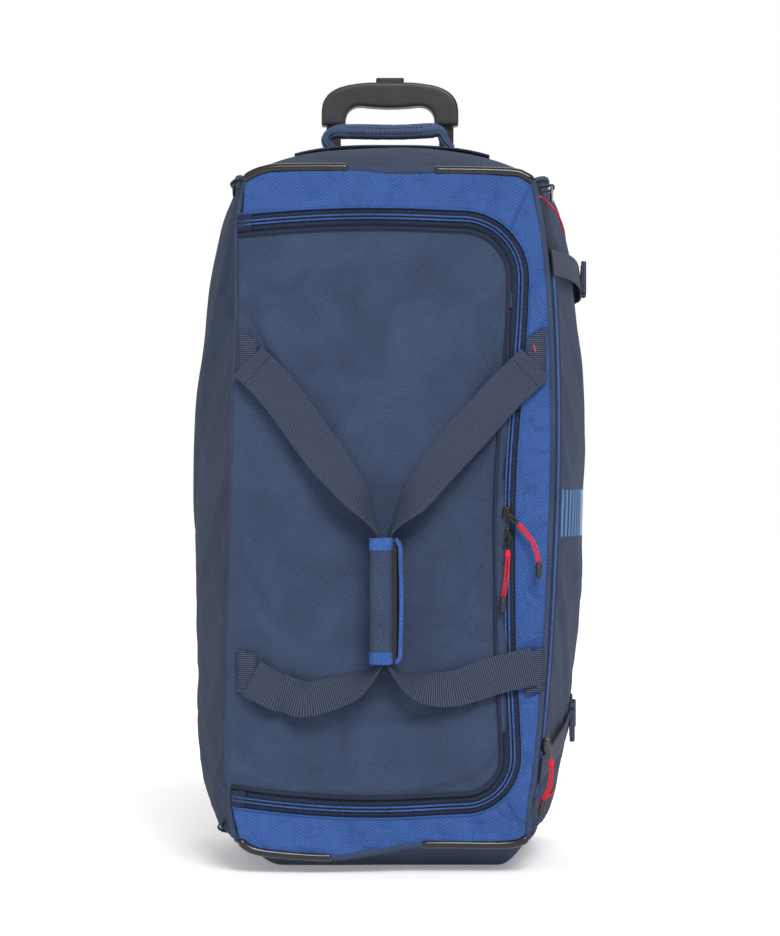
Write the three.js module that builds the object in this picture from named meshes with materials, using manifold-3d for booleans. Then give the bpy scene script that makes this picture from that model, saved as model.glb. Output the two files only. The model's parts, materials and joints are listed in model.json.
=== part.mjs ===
// A wheeled duffel bag, 70 cm tall, standing on end: soft shell, U-shaped lid with a zip, carry
// handles with a wrap grip, top grab handle, telescopic trolley and two wheels.
// Millimetres, +Z up. The lid faces -Y and the wheels and trolley are at +Y.
import * as THREE from "three";
import { mergeVertices } from "three/addons/utils/BufferGeometryUtils.js";
import Module from "manifold-3d";

const wasm = await Module();
wasm.setup();

// ---------- driving dimensions ----------
const frontY = -150;
const backY = 180;
const middleY = (frontY + backY) / 2;
const fabric = 3; // thickness of a padded fabric panel
const gap = 0.4; // clearance between neighbouring pieces
const seamRadius = 3.4; // piping and corner rails
const lidBulge = 14; // how far the filled lid stands out at its middle
const pocketDepth = 7; // the side pocket over the right side panel
const webbingWidth = 38;
const webbingThickness = 2.4;

const wheel = { radius: 35, width: 24, x: 116, y: 163, hubRadius: 24, axleRadius: 4 };
const housing = { width: 47, bottom: 6, top: 80, front: 112, back: 184, slot: 29, clearance: 4 };
const trolley = {
  spacing: 117,
  y: 166,
  outer: { width: 23, depth: 16, wall: 1.5, bottom: 62, top: 664 },
  middle: { width: 19, depth: 12, wall: 1.2, bottom: 78 },
  inner: { width: 15, depth: 8.6, bottom: 94, top: 738 },
  gripWidth: 142,
  gripTop: 784,
  gripBar: 27,
  gripDepth: 24,
  legWidth: 25,
};
const button = { width: 29, depth: 14, travel: 3, stand: 5 };
const foot = { width: 150, depth: 26, height: 4, y: -45 };

// ---------- outlines of the body: x and z of the front seam, the fullest section and the back ----------
const spline = (points) => {
  const curve = new THREE.SplineCurve(points.map(([a, b]) => new THREE.Vector2(a, b)));
  const samples = curve.getPoints(120);
  return (a) => {
    const k = samples.findIndex((p) => p.x >= a);
    if (k <= 0) return k === 0 ? samples[0].y : samples[samples.length - 1].y;
    const p = samples[k - 1];
    const q = samples[k];
    return p.y + ((q.y - p.y) * (a - p.x)) / (q.x - p.x);
  };
};
const mix = (a, b, t) => a + (b - a) * t;

// Each loop gives its half-widths against height, and its top and bottom edges against x.
const frontLoop = {
  left: spline([[31, 142], [60, 151], [200, 152], [400, 150], [525, 145], [607, 145], [658, 137]]),
  right: spline([[34, 130], [68, 132], [98, 137], [217, 146], [394, 153], [525, 151], [607, 144],
    [656, 135]]),
  top: spline([[-137, 657], [-131, 661.5], [-119, 666], [-102, 668], [-38, 668], [0, 664.5], [42, 665.5],
    [112, 664], [128, 660], [135, 655]]),
  bottom: spline([[-142, 31], [-122, 21], [-55, 16], [-10, 22], [30, 28], [110, 28], [130, 34]]),
  corners: { left: [31, 658], right: [34, 656], top: [-137, 135], bottom: [-142, 130] },
};
const middleLoop = {
  left: spline([[21, 152], [43, 167], [93, 186], [190, 191], [394, 192], [531, 185], [617, 172], [667, 152]]),
  right: spline([[28, 144], [67, 162], [145, 177], [223, 185], [369, 191], [542, 188], [627, 175],
    [667, 156]]),
  top: (x) => 664 + 37 * (1 - Math.abs(x / 154) ** 2.95),
  bottom: (x) => 3 + 20 * Math.abs(x / 148) ** 6,
  corners: { left: [21, 667], right: [28, 667], top: [-152, 156], bottom: [-152, 144] },
};
const backLoop = {
  left: () => 148,
  right: () => 148,
  top: (x) => 655 + 6 * (1 - (x / 148) ** 2),
  bottom: () => 22,
  corners: { left: [22, 655], right: [22, 655], top: [-148, 148], bottom: [-148, 148] },
};

// A point on a loop's side, with t running up the sides and from left to right on the ends.
function loopPoint(loop, side, t) {
  const [from, to] = loop.corners[side];
  const along = mix(from, to, t);
  if (side === "left") return [-loop.left(along), along];
  if (side === "right") return [loop.right(along), along];
  return [along, loop[side](along)];
}

// A point on the soft wall between the front seam (s = 0) and the back seam (s = 1).
function wallPoint(side, t, s, inward = 0) {
  const front = loopPoint(frontLoop, side, t);
  const middle = loopPoint(middleLoop, side, t);
  const back = loopPoint(backLoop, side, t);
  const fullness = 1 - Math.abs(2 * s - 1) ** 2.3;
  const [x, z] = [0, 1].map((k) => {
    const straight = mix(front[k], back[k], s);
    return straight + (middle[k] - (front[k] + back[k]) / 2) * fullness;
  });
  const out = { left: [-1, 0], right: [1, 0], top: [0, 1], bottom: [0, -1] }[side];
  return [x - out[0] * inward, mix(frontY, backY, s), z - out[1] * inward];
}

// The filled front face: y against x and z.
function frontSurface(x, z) {
  const across = (x + frontLoop.left(z)) / (frontLoop.left(z) + frontLoop.right(z));
  const bottom = frontLoop.bottom(x);
  const up = (z - bottom) / (frontLoop.top(x) - bottom);
  const fill = (t) => Math.sqrt(Math.max(0, 4 * t * (1 - t)));
  return frontY - lidBulge * fill(across) * fill(up);
}

// ---------- solids ----------
function geometryFrom(positions, triangles) {
  const geometry = new THREE.BufferGeometry();
  geometry.setAttribute("position", new THREE.Float32BufferAttribute(positions.flat(), 3));
  geometry.setIndex(triangles.flat());
  return geometry;
}

function signedVolume(positions, triangles) {
  let six = 0;
  for (const [a, b, c] of triangles) {
    const [p, q, r] = [positions[a], positions[b], positions[c]].map((v) => new THREE.Vector3(...v));
    six += p.dot(q.cross(r));
  }
  return six;
}

// A closed plate between two grids of points, such as a panel's outer and inner faces.
function plate(outer, inner) {
  const rows = outer.length;
  const columns = outer[0].length;
  const positions = [...outer.flat(), ...inner.flat()];
  const at = (face, i, j) => face * rows * columns + i * columns + j;
  const triangles = [];
  const quad = (a, b, c, d) => triangles.push([a, b, c], [a, c, d]);
  for (let i = 0; i < rows - 1; i++) {
    for (let j = 0; j < columns - 1; j++) {
      quad(at(0, i, j), at(0, i + 1, j), at(0, i + 1, j + 1), at(0, i, j + 1));
      quad(at(1, i, j), at(1, i, j + 1), at(1, i + 1, j + 1), at(1, i + 1, j));
    }
    quad(at(0, i, 0), at(1, i, 0), at(1, i + 1, 0), at(0, i + 1, 0));
    quad(at(0, i, columns - 1), at(0, i + 1, columns - 1), at(1, i + 1, columns - 1), at(1, i, columns - 1));
  }
  for (let j = 0; j < columns - 1; j++) {
    quad(at(0, 0, j), at(0, 0, j + 1), at(1, 0, j + 1), at(1, 0, j));
    quad(at(0, rows - 1, j), at(1, rows - 1, j), at(1, rows - 1, j + 1), at(0, rows - 1, j + 1));
  }
  if (signedVolume(positions, triangles) < 0) triangles.forEach((triangle) => triangle.reverse());
  return geometryFrom(positions, triangles);
}

const grid = (rows, columns, point) =>
  Array.from({ length: rows + 1 }, (_, i) =>
    Array.from({ length: columns + 1 }, (_, j) => point(i / rows, j / columns)),
  );

function box(width, depth, height, x, y, z) {
  return new THREE.BoxGeometry(width, depth, height).translate(x, y, z);
}

function cylinderAlongX(radius, length, x, y, z, sides = 24) {
  return new THREE.CylinderGeometry(radius, radius, length, sides).rotateZ(Math.PI / 2).translate(x, y, z);
}

// A round cord or tube along a smooth curve through the given points.
function tube(points, radius, steps, sides = 8) {
  const curve = new THREE.CatmullRomCurve3(points.map((p) => new THREE.Vector3(...p)));
  const section = new THREE.Shape().absarc(0, 0, radius, 0, 2 * Math.PI);
  return new THREE.ExtrudeGeometry(section, { steps, curveSegments: sides, extrudePath: curve });
}

function roundedRectangle(width, height, radius) {
  const w = width / 2;
  const h = height / 2;
  const shape = new THREE.Shape();
  shape.absarc(w - radius, h - radius, radius, 0, Math.PI / 2);
  shape.absarc(-w + radius, h - radius, radius, Math.PI / 2, Math.PI);
  shape.absarc(-w + radius, -h + radius, radius, Math.PI, 1.5 * Math.PI);
  shape.absarc(w - radius, -h + radius, radius, 1.5 * Math.PI, 2 * Math.PI);
  shape.closePath();
  return shape;
}

// A prism of an outline drawn in x and y, standing from one height to another.
function prism(shape, bottom, top, x = 0, y = 0) {
  const options = { depth: top - bottom, bevelEnabled: false, curveSegments: 4 };
  return new THREE.ExtrudeGeometry(shape, options).translate(x, y, bottom);
}

function solid(geometry) {
  const bare = geometry.clone();
  bare.deleteAttribute("normal");
  bare.deleteAttribute("uv");
  const merged = mergeVertices(bare, 1e-4);
  return new wasm.Manifold(
    new wasm.Mesh({
      numProp: 3,
      vertProperties: Float32Array.from(merged.attributes.position.array),
      triVerts: Uint32Array.from(merged.index.array),
    }),
  );
}

function geometryOf(manifold) {
  const mesh = manifold.getMesh();
  const geometry = new THREE.BufferGeometry();
  geometry.setAttribute("position", new THREE.BufferAttribute(Float32Array.from(mesh.vertProperties), 3));
  geometry.setIndex(new THREE.BufferAttribute(Uint32Array.from(mesh.triVerts), 1));
  return geometry;
}

const cut = (geometry, ...tools) =>
  geometryOf(tools.reduce((rest, tool) => rest.subtract(solid(tool)), solid(geometry)));
const join = (...pieces) => geometryOf(pieces.map(solid).reduce((all, piece) => all.add(piece)));

// ---------- materials ----------
const material = (color, roughness, metalness = 0) =>
  new THREE.MeshStandardMaterial({ color, roughness, metalness });
const navyFabric = material("#40495f", 0.9);
const blueFabric = material("#4868a4", 0.7);
const navyWebbing = material("#3c4457", 0.85);
const zipTape = material("#2c3448", 0.85);
const redCord = material("#dc3a4b", 0.8);
const blackPlastic = material("#2a2b2d", 0.45);
const glossRail = material("#1d1e20", 0.25);
const darkMetal = material("#4a4c50", 0.35, 0.9);
const tubeMetal = material("#2b2d30", 0.4, 0.8);
const tyreRubber = material("#1b1b1c", 0.85);

const assembly = new THREE.Group();
function add(name, geometry, look) {
  const mesh = new THREE.Mesh(geometry, look);
  mesh.name = name;
  assembly.add(mesh);
  return mesh;
}

// ---------- soft walls ----------
const seamStart = (seamRadius + gap) / (backY - frontY); // how far the walls stay off the seam piping

function wall(side, across, deep, inward = 0, thickness = fabric, range = [0, 1], depthRange = [0, 1]) {
  const point = (offset) => (t, s) =>
    wallPoint(
      side,
      mix(range[0], range[1], t),
      mix(Math.max(depthRange[0], seamStart), Math.min(depthRange[1], 1 - seamStart), s),
      offset,
    );
  return plate(grid(across, deep, point(inward)), grid(across, deep, point(inward + thickness)));
}

const cornerStep = 0.012; // where side walls stop short of the end walls' seams
const endRange = [cornerStep * 2.6, 1 - cornerStep * 2.6];

// Openings in the walls for the wheel housings, which run out through the back and the bottom.
const housingCut = [-1, 1].map((side) => {
  const depth = 100;
  const below = 20;
  const height = housing.top + gap + below;
  const y = housing.front - gap + depth / 2;
  return box(housing.width + 2 * gap, depth, height, side * wheel.x, y, height / 2 - below);
});
const bezel = { width: 150, depth: 24, top: 675 };
const bezelCut = box(bezel.width + 2 * gap, bezel.depth + 2 * gap, 90, 0, trolley.y, bezel.top);

add("left_side_panel", wall("left", 12, 8, 0, fabric, [cornerStep, 1 - cornerStep]), navyFabric);
add(
  "right_side_panel",
  cut(wall("right", 12, 8, pocketDepth + gap, fabric, [cornerStep, 1 - cornerStep]), ...housingCut),
  navyFabric,
);
add("top_end_panel", cut(wall("top", 12, 8, 0, fabric, endRange), bezelCut), navyFabric);
add("bottom_end_panel", cut(wall("bottom", 10, 8, 0, fabric, endRange), ...housingCut), navyFabric);

const backInset = 5;
const [backBottom, backTop] = backLoop.corners.left;
const backHeight = backTop - backBottom - 2 * backInset;
const backOutline = roundedRectangle(2 * (backLoop.left() - backInset), backHeight, 14);
const backPanel = prism(backOutline, 0, fabric)
  .rotateX(Math.PI / 2)
  .translate(0, backY, (backTop + backBottom) / 2);
add("back_panel", cut(backPanel, ...housingCut), navyFabric);

// The side pocket lies over the right side panel, behind its own zip.
const sideZip = { from: 0.016, to: 0.045 };
const pocketThickness = pocketDepth - 1.6;
add(
  "side_pocket",
  wall("right", 12, 8, 0, pocketThickness, [0.05, 0.95], [sideZip.to + 0.004, 0.93]),
  navyFabric,
);
add(
  "side_zip_tape",
  wall("right", 16, 1, pocketDepth - 3, 2.4, [0.09, 0.93], [sideZip.from, sideZip.to]),
  zipTape,
);

// ---------- front face: lid, zip and the blue surround ----------
// The lid's free edge runs from the left seam along the top, down the right and back along the bottom.
const lid = {
  left: -143,
  top: (x) => 612 - 7 * (x / 143) ** 2,
  bottom: (x) => 71 + 10 * (x / 143) ** 2,
  right: spline([[60, 103], [106, 106], [160, 104], [217, 101], [370, 101], [525, 112], [610, 114]]),
  topRadius: 46,
  bottomRadius: 36,
};
const edgeSteps = { straight: 8, arc: 6, side: 12 };

function lidPath(offset) {
  const path = [];
  const topLine = lid.top(90);
  const bottomLine = lid.bottom(90);
  const upperRight = lid.right(topLine - lid.topRadius);
  const lowerRight = lid.right(bottomLine + lid.bottomRadius);
  const straight = edgeSteps.straight;
  for (let i = 0; i < straight; i++) {
    const x = mix(lid.left, upperRight - lid.topRadius, i / straight);
    const settle = (i / straight) ** 4;
    path.push([x, mix(lid.top(x), topLine, settle) + offset]);
  }
  for (let i = 0; i < edgeSteps.arc; i++) {
    const angle = (Math.PI / 2) * (1 - i / edgeSteps.arc);
    const r = lid.topRadius + offset;
    path.push([
      upperRight - lid.topRadius + r * Math.cos(angle),
      topLine - lid.topRadius + r * Math.sin(angle),
    ]);
  }
  for (let i = 0; i <= edgeSteps.side; i++) {
    const z = mix(topLine - lid.topRadius, bottomLine + lid.bottomRadius, i / edgeSteps.side);
    path.push([lid.right(z) + offset, z]);
  }
  for (let i = 1; i <= edgeSteps.arc; i++) {
    const angle = (-Math.PI / 2) * (i / edgeSteps.arc);
    const r = lid.bottomRadius + offset;
    path.push([
      lowerRight - lid.bottomRadius + r * Math.cos(angle),
      bottomLine + lid.bottomRadius + r * Math.sin(angle),
    ]);
  }
  for (let i = 1; i <= straight; i++) {
    const x = mix(lowerRight - lid.bottomRadius, lid.left, i / straight);
    const settle = (1 - i / straight) ** 4;
    path.push([x, mix(lid.bottom(x), bottomLine, settle) - offset]);
  }
  return path;
}

const onFront = (x, z, lift = 0) => [x, frontSurface(x, z) - lift, z];

function lidPlate(thickness) {
  const path = lidPath(0);
  const columns = edgeSteps.straight + edgeSteps.arc;
  const face = (lift) =>
    Array.from({ length: columns + 1 }, (_, i) => {
      const upper = path[i];
      const lower = path[path.length - 1 - i];
      return Array.from({ length: edgeSteps.side + 1 }, (_, j) => {
        const t = j / edgeSteps.side;
        if (i === columns) return onFront(...path[columns + edgeSteps.side - j], lift);
        const z = mix(lower[1], upper[1], t);
        const x = mix(lower[0], upper[0], t);
        const hinge = -frontLoop.left(z) + seamRadius + gap + 1.5;
        return onFront(x + (hinge - lid.left) * Math.max(0, 1 - i / 3), z, lift);
      });
    });
  return plate(face(0), face(-thickness));
}

// A ribbon along the lid's edge between two offsets from it.
function edgeRibbon(from, to, lift, thickness) {
  const inner = lidPath(from);
  const outer = lidPath(to);
  const face = (height) =>
    inner.map((point, k) => [onFront(...point, height), onFront(...outer[k], height)]);
  return plate(face(lift), face(lift - thickness));
}

const coil = 10; // the zip's centre line, measured out from the lid's edge
const tapeWidth = 8; // of the body's half of the zip
const tapeThickness = 2;
add("lid_panel", lidPlate(fabric), navyFabric);
add("zip_tape_lid", edgeRibbon(3 * gap, coil - gap, 0, tapeThickness), zipTape);
add("zip_tape_body", edgeRibbon(coil + gap, coil + tapeWidth, 0, tapeThickness), zipTape);

// The surround's three panels meet on slanted seams at the two right-hand corners.
const surroundInner = coil + tapeWidth + gap;
const surroundThickness = 2.5;
const seamInset = seamRadius + gap + 0.6;
const clamp = (value, low, high) => Math.min(Math.max(value, low), high);
const [rightBottom, rightTop] = frontLoop.corners.right;
function surround(pathFrom, pathTo, side, reversed, steps) {
  const path = lidPath(surroundInner).slice(pathFrom, pathTo + 1);
  const inset = seamInset;
  const edge = (t) => {
    const [x, z] = loopPoint(frontLoop, side, reversed ? 1 - t : t);
    if (side === "right") return [x - inset, clamp(z, rightBottom + inset, rightTop - inset)];
    const clearOfSides = clamp(x, -frontLoop.left(z) + inset + 1, frontLoop.right(z) - inset);
    return [clearOfSides, side === "top" ? z - inset : z + inset];
  };
  const face = (lift) =>
    path.map((point, k) => {
      const outer = edge(k / (path.length - 1));
      return Array.from({ length: steps + 1 }, (_, j) =>
        onFront(mix(point[0], outer[0], j / steps), mix(point[1], outer[1], j / steps), lift),
      );
    });
  return plate(face(0), face(-surroundThickness));
}
const topCorner = edgeSteps.straight + edgeSteps.arc / 2;
const bottomCorner = topCorner + edgeSteps.arc + edgeSteps.side;
const pathEnd = topCorner + bottomCorner;

// A thin slit along a slanted seam keeps the panels on its two sides apart.
function cornerSlit(index, cornerX, cornerZ) {
  const [x, z] = lidPath(surroundInner)[index];
  const length = Math.hypot(cornerX - x, cornerZ - z) + 40;
  const angle = Math.atan2(cornerZ - z, cornerX - x);
  return new THREE.BoxGeometry(length, 60, gap)
    .rotateY(-angle)
    .translate((x + cornerX) / 2, frontY, (z + cornerZ) / 2);
}
const slits = [
  cornerSlit(topCorner, frontLoop.corners.top[1], rightTop),
  cornerSlit(bottomCorner, frontLoop.corners.bottom[1], rightBottom),
];
const largest = (manifold) =>
  manifold.decompose().reduce((best, piece) => (piece.volume() > best.volume() ? piece : best));
const surroundPiece = (geometry) => geometryOf(largest(solid(cut(geometry, ...slits))));
add("surround_top", surroundPiece(surround(0, topCorner, "top", false, 3)), blueFabric);
add("surround_right", surroundPiece(surround(topCorner, bottomCorner, "right", true, 2)), blueFabric);
add("surround_bottom", surroundPiece(surround(bottomCorner, pathEnd, "bottom", true, 3)), blueFabric);

// ---------- piping and corner rails along the front seam ----------
function seamTube(side, from, to, steps) {
  const points = Array.from({ length: steps + 1 }, (_, k) => {
    const [x, z] = loopPoint(frontLoop, side, mix(from, to, k / steps));
    return [x, frontY - 0.2, z];
  });
  return tube(points, seamRadius - 0.2, steps, 6);
}
add("rail_top_left", seamTube("top", 0.03, 0.355, 8), glossRail);
add("piping_top", seamTube("top", 0.37, 0.645, 8), navyFabric);
add("rail_top_right", seamTube("top", 0.66, 0.97, 8), glossRail);
add("rail_bottom_left", seamTube("bottom", 0.03, 0.31, 8), glossRail);
add("piping_bottom", seamTube("bottom", 0.33, 0.62, 8), navyFabric);
add("rail_bottom_right", seamTube("bottom", 0.64, 0.97, 8), glossRail);
add("piping_right", seamTube("right", 0.02, 0.98, 16), navyWebbing);

// ---------- carry handles ----------
// A strap through stations of [x, z, stand-off from the lid, turn in degrees, width].
function strap(stations, segments) {
  const curve = new THREE.CatmullRomCurve3(stations.map(([x, z, off]) => new THREE.Vector3(x, -off, z)));
  const ease = spline(stations.map((s, k) => [k / (stations.length - 1), s[3]]));
  const width = spline(stations.map((s, k) => [k / (stations.length - 1), s[4]]));
  const rows = [];
  const backs = [];
  for (let i = 0; i <= segments; i++) {
    const t = i / segments;
    const p = curve.getPoint(t);
    const along = curve.getTangent(t);
    const flat = new THREE.Vector3(along.z, 0, -along.x).normalize();
    const turn = THREE.MathUtils.degToRad(ease(t));
    const across = flat.multiplyScalar(Math.cos(turn)).add(new THREE.Vector3(0, -Math.sin(turn), 0));
    const normal = new THREE.Vector3().crossVectors(across, along).normalize();
    const half = across.clone().multiplyScalar(width(t) / 2);
    const thick = normal.multiplyScalar(webbingThickness / 2);
    const corner = (a, b) => {
      const q = p.clone().addScaledVector(half, a).addScaledVector(thick, b);
      return [q.x, q.y, q.z];
    };
    rows.push([corner(-1, 1), corner(1, 1)]);
    backs.push([corner(-1, -1), corner(1, -1)]);
  }
  return plate(rows, backs);
}

const onLid = (x, z, proud) => -frontSurface(x, z) + proud;
const grip = { bottom: 205, top: 315, x: -5, width: 27, depth: 32, wall: 4.5, stand: 3 };
const gripY = -frontSurface(grip.x, 260) + grip.stand + grip.depth / 2;
const inGrip = 18;
const leftStrap = [
  [-136, 487, onLid(-136, 487, 6), 0, webbingWidth],
  [-105, 455, onLid(-105, 455, 8), 0, webbingWidth],
  [-64, 399, onLid(-64, 399, 12), 8, webbingWidth],
  [-31, 356, onLid(-31, 356, 20), 40, 34],
  [-10.5, 322, gripY, 84, 20],
  [-9.5, 300, gripY, 90, inGrip],
  [-9.5, 260, gripY, 90, inGrip],
  [-9.5, 220, gripY, 90, inGrip],
  [-10.5, 198, gripY, 96, 20],
  [-36, 179, onLid(-36, 179, 17), 140, 32],
  [-75, 167, onLid(-75, 167, 12), 172, 34],
  [-108, 174, onLid(-108, 174, 8), 180, 36],
  [-138, 187, onLid(-138, 187, 6), 180, webbingWidth - 2],
];
const rightStrap = [
  [138, 485, onLid(138, 485, 6), 0, webbingWidth],
  [105, 452, onLid(105, 452, 8), 0, webbingWidth],
  [60, 402, onLid(60, 402, 12), -8, webbingWidth],
  [22, 354, onLid(22, 354, 20), -40, 34],
  [0.5, 322, gripY, -84, 20],
  [-0.5, 300, gripY, -90, inGrip],
  [-0.5, 260, gripY, -90, inGrip],
  [-0.5, 220, gripY, -90, inGrip],
  [0.5, 198, gripY, -96, 20],
  [26, 179, onLid(26, 179, 17), -140, 32],
  [60, 177, onLid(60, 177, 12), -172, 34],
  [100, 189, onLid(100, 189, 8), -180, 36],
  [139, 197, onLid(139, 197, 6), -180, webbingWidth - 2],
];
add("carry_strap_left", strap(leftStrap, 30), navyWebbing);
add("carry_strap_right", strap(rightStrap, 30), navyWebbing);

function wrapGrip() {
  const outline = roundedRectangle(grip.width, grip.depth, 9);
  outline.holes.push(roundedRectangle(grip.width - 2 * grip.wall, grip.depth - 2 * grip.wall, 4.5));
  const sleeve = prism(outline, grip.bottom, grip.top, grip.x, -gripY);
  const slot = box(20, 4, 200, grip.x + grip.width / 2, -gripY, (grip.bottom + grip.top) / 2);
  return cut(sleeve, slot);
}
add("wrap_grip", wrapGrip(), navyFabric);

// The straps' sewn-down ends, flat against the seams.
const anchor = { width: 13, height: 34, face: 3.2, underside: 0.9 };
function anchorTab(x, z, slope) {
  const tab = grid(1, 3, (a, b) => {
    const beside = (b - 0.5) * anchor.width;
    return onFront(x + beside, z + (a - 0.5) * anchor.height + slope * beside, anchor.face);
  });
  const under = tab.map((row) => row.map(([px, , pz]) => onFront(px, pz, anchor.underside)));
  return plate(tab, under);
}
add("anchor_tab_upper_left", anchorTab(-137.5, 490, -0.6), navyWebbing);
add("anchor_tab_lower_left", anchorTab(-140.5, 190, -0.3), navyWebbing);
add("anchor_tab_upper_right", anchorTab(140, 491, 0.6), navyWebbing);
add("anchor_tab_lower_right", anchorTab(133.5, 192, 0.2), navyWebbing);

// ---------- zip sliders and pulls ----------
const sliderSize = { width: 8, depth: 4, height: 14 };
const pullRadius = 2.4;
const pullTip = { radius: 3.2, length: 13, hang: 9 };
const coilX = (z) => lid.right(z) + coil;

function slider(x, y, z) {
  const body = prism(roundedRectangle(sliderSize.width, sliderSize.height, 3), 0, sliderSize.depth)
    .rotateX(Math.PI / 2)
    .translate(x, y, z);
  const loop = new THREE.TorusGeometry(3, 0.8, 6, 12)
    .rotateY(Math.PI / 2)
    .translate(x, y - sliderSize.depth, z);
  return join(body, loop);
}

function pull(x, y, z, sweep) {
  const bar = sliderSize.depth + pullRadius + 3; // how far in front of the slider's back the cord hangs
  const points = sweep.map(([dx, dz]) => [x + dx, y - bar, z + dz]);
  const cord = tube(points, pullRadius, 8, 6);
  const [endX, endZ] = sweep[sweep.length - 1];
  const [beforeX, beforeZ] = sweep[sweep.length - 2];
  const lean = Math.atan2(endX - beforeX, beforeZ - endZ);
  const tip = new THREE.CapsuleGeometry(pullTip.radius, pullTip.length, 3, 8)
    .rotateX(Math.PI / 2)
    .translate(0, 0, -pullTip.hang)
    .rotateY(-lean)
    .translate(x + endX, y - bar, z + endZ);
  return join(cord, tip);
}

const sliderStandOff = 0.8; // keeps the flat-backed slider off the bulging front all along its run
const onZip = (z) => frontSurface(coilX(z), z) - sliderStandOff;
const pullGap = 0.6; // between a slider and its pull
function sliderWithPull(place, [x, y, z], look, sweep) {
  add("slider_" + place, slider(x, y, z), look);
  add("pull_" + place, pull(x, y - pullGap, z, sweep), redCord);
}
const onMainZip = (z) => [coilX(z), onZip(z), z];
sliderWithPull("upper", onMainZip(340), blackPlastic, [[5, -4], [14, -13], [24, -26], [29, -42]]);
sliderWithPull("lower", onMainZip(321), blackPlastic, [[0, -4], [0.6, -22], [-1, -42], [-3, -56]]);

// The side slider hangs beside and in front of the seam piping.
const [sideX, sideY, sideZ] = wallPoint("right", 0.14, (sideZip.from + sideZip.to) / 2, -1.6);
const besideSeam = [sideX + 4, sideY - 1.2, sideZ];
sliderWithPull("side", besideSeam, darkMetal, [[1, -4], [4, -20], [2, -38], [-3, -50]]);

// ---------- compression straps and the lashing ring ----------
const sideStrapWidth = 25;
const sideStrapRun = { from: 0.055, to: 0.5, face: -3.2, underside: -1 };
function sideStrap(tFrom, tTo) {
  const rise = sideStrapWidth / (rightTop - rightBottom);
  const face = (off) =>
    grid(8, 1, (a, b) => {
      const t = mix(tFrom, tTo, a) + (b - 0.5) * rise;
      return wallPoint("right", t, mix(sideStrapRun.from, sideStrapRun.to, a), off);
    });
  return plate(face(sideStrapRun.face), face(sideStrapRun.underside));
}
// The strap's free end, folded back into a small standing loop where the strap stops.
const tailLoop = { width: 9, depth: 12, wall: 2.2, s: 0.49 };
function strapTail(t) {
  const [x, y, z] = wallPoint("right", t, tailLoop.s, -2.1);
  const loop = roundedRectangle(tailLoop.width, tailLoop.depth, 3);
  const inside = [tailLoop.width - 2 * tailLoop.wall, tailLoop.depth - 2 * tailLoop.wall];
  loop.holes.push(roundedRectangle(...inside, 1.6));
  return prism(loop, z - sideStrapWidth / 2, z + sideStrapWidth / 2, x + tailLoop.width / 2, y);
}
const strapWithTail = (tFrom, tTo) => join(sideStrap(tFrom, tTo), strapTail(tTo));
add("compression_strap_top", strapWithTail(0.876, 0.845), navyWebbing);
add("compression_strap_bottom", strapWithTail(0.102, 0.161), navyWebbing);

const ringAt = wallPoint("right", 0.985, 0.07);
const ring = { wire: 1.2, x: ringAt[0] + 10.5, y: frontY + 22, z: ringAt[2] + 1 };
const ringTube = (radius, length) =>
  new THREE.CylinderGeometry(radius, radius, length, 12).translate(ring.x, ring.y, ring.z);
const ringTab = join(box(15, 16, 2.4, ring.x - 7.5, ring.y, ring.z + 0.6), ringTube(2.4, 16));
add("ring_tab", cut(ringTab, ringTube(1.5, 20)), navyWebbing);

// A D-shaped ring that hangs down from its straight bar.
function dRing() {
  const half = 9.4;
  const bar = new THREE.CylinderGeometry(ring.wire, ring.wire, 2 * half, 10);
  const bow = tube(
    [[0, -half, 0], [0, -half, -5], [0, -5, -11], [0, 0, -12.5], [0, 5, -11], [0, half, -5], [0, half, 0]],
    ring.wire,
    12,
    6,
  );
  return join(bar, bow).translate(ring.x, ring.y, ring.z);
}
add("lashing_ring", dRing(), darkMetal);

// ---------- top grab handle ----------
const strip = { half: 97, width: 36, face: 2.8, underside: 0.6 };
function handleStrip() {
  const face = (lift) =>
    grid(14, 2, (a, b) => {
      const t = (mix(-strip.half, strip.half, a) + 154) / 308;
      const s = 0.5 + (b - 0.5) * (strip.width / (backY - frontY));
      return wallPoint("top", t, s, -lift);
    });
  return plate(face(strip.face), face(strip.underside));
}
add("grab_handle_strip", handleStrip(), navyWebbing);
const handle = { half: 61, radius: 6.2, rise: 12.5, pivotZ: middleLoop.top(60) + 7.5 };
const handleHalf = [
  [handle.half, handle.pivotZ + 2.5],
  [handle.half - 0.8, handle.pivotZ + 7],
  [handle.half - 4.5, handle.pivotZ + handle.rise - 1.7],
  [handle.half - 11, handle.pivotZ + handle.rise - 0.3],
];
const handlePoints = [
  ...handleHalf.map(([x, z]) => [-x, middleY, z]),
  [0, middleY, handle.pivotZ + handle.rise],
  ...handleHalf.map(([x, z]) => [x, middleY, z]).reverse(),
];
add("grab_handle", tube(handlePoints, handle.radius, 28, 10), navyFabric);

// ---------- trolley ----------
function hollowTube(section, x) {
  const outline = roundedRectangle(section.width, section.depth, 3);
  outline.holes.push(
    roundedRectangle(section.width - 2 * section.wall, section.depth - 2 * section.wall, 2.2),
  );
  return prism(outline, section.bottom, section.top, x, trolley.y);
}
const sides = { left: -trolley.spacing / 2, right: trolley.spacing / 2 };
for (const [name, x] of Object.entries(sides)) {
  const { width, depth, bottom, top } = trolley.inner;
  add("trolley_outer_tube_" + name, hollowTube(trolley.outer, x), tubeMetal);
  const inner = prism(roundedRectangle(width, depth, 2.5), bottom, top, x, trolley.y);
  add("trolley_inner_tube_" + name, inner, tubeMetal);
}
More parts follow.
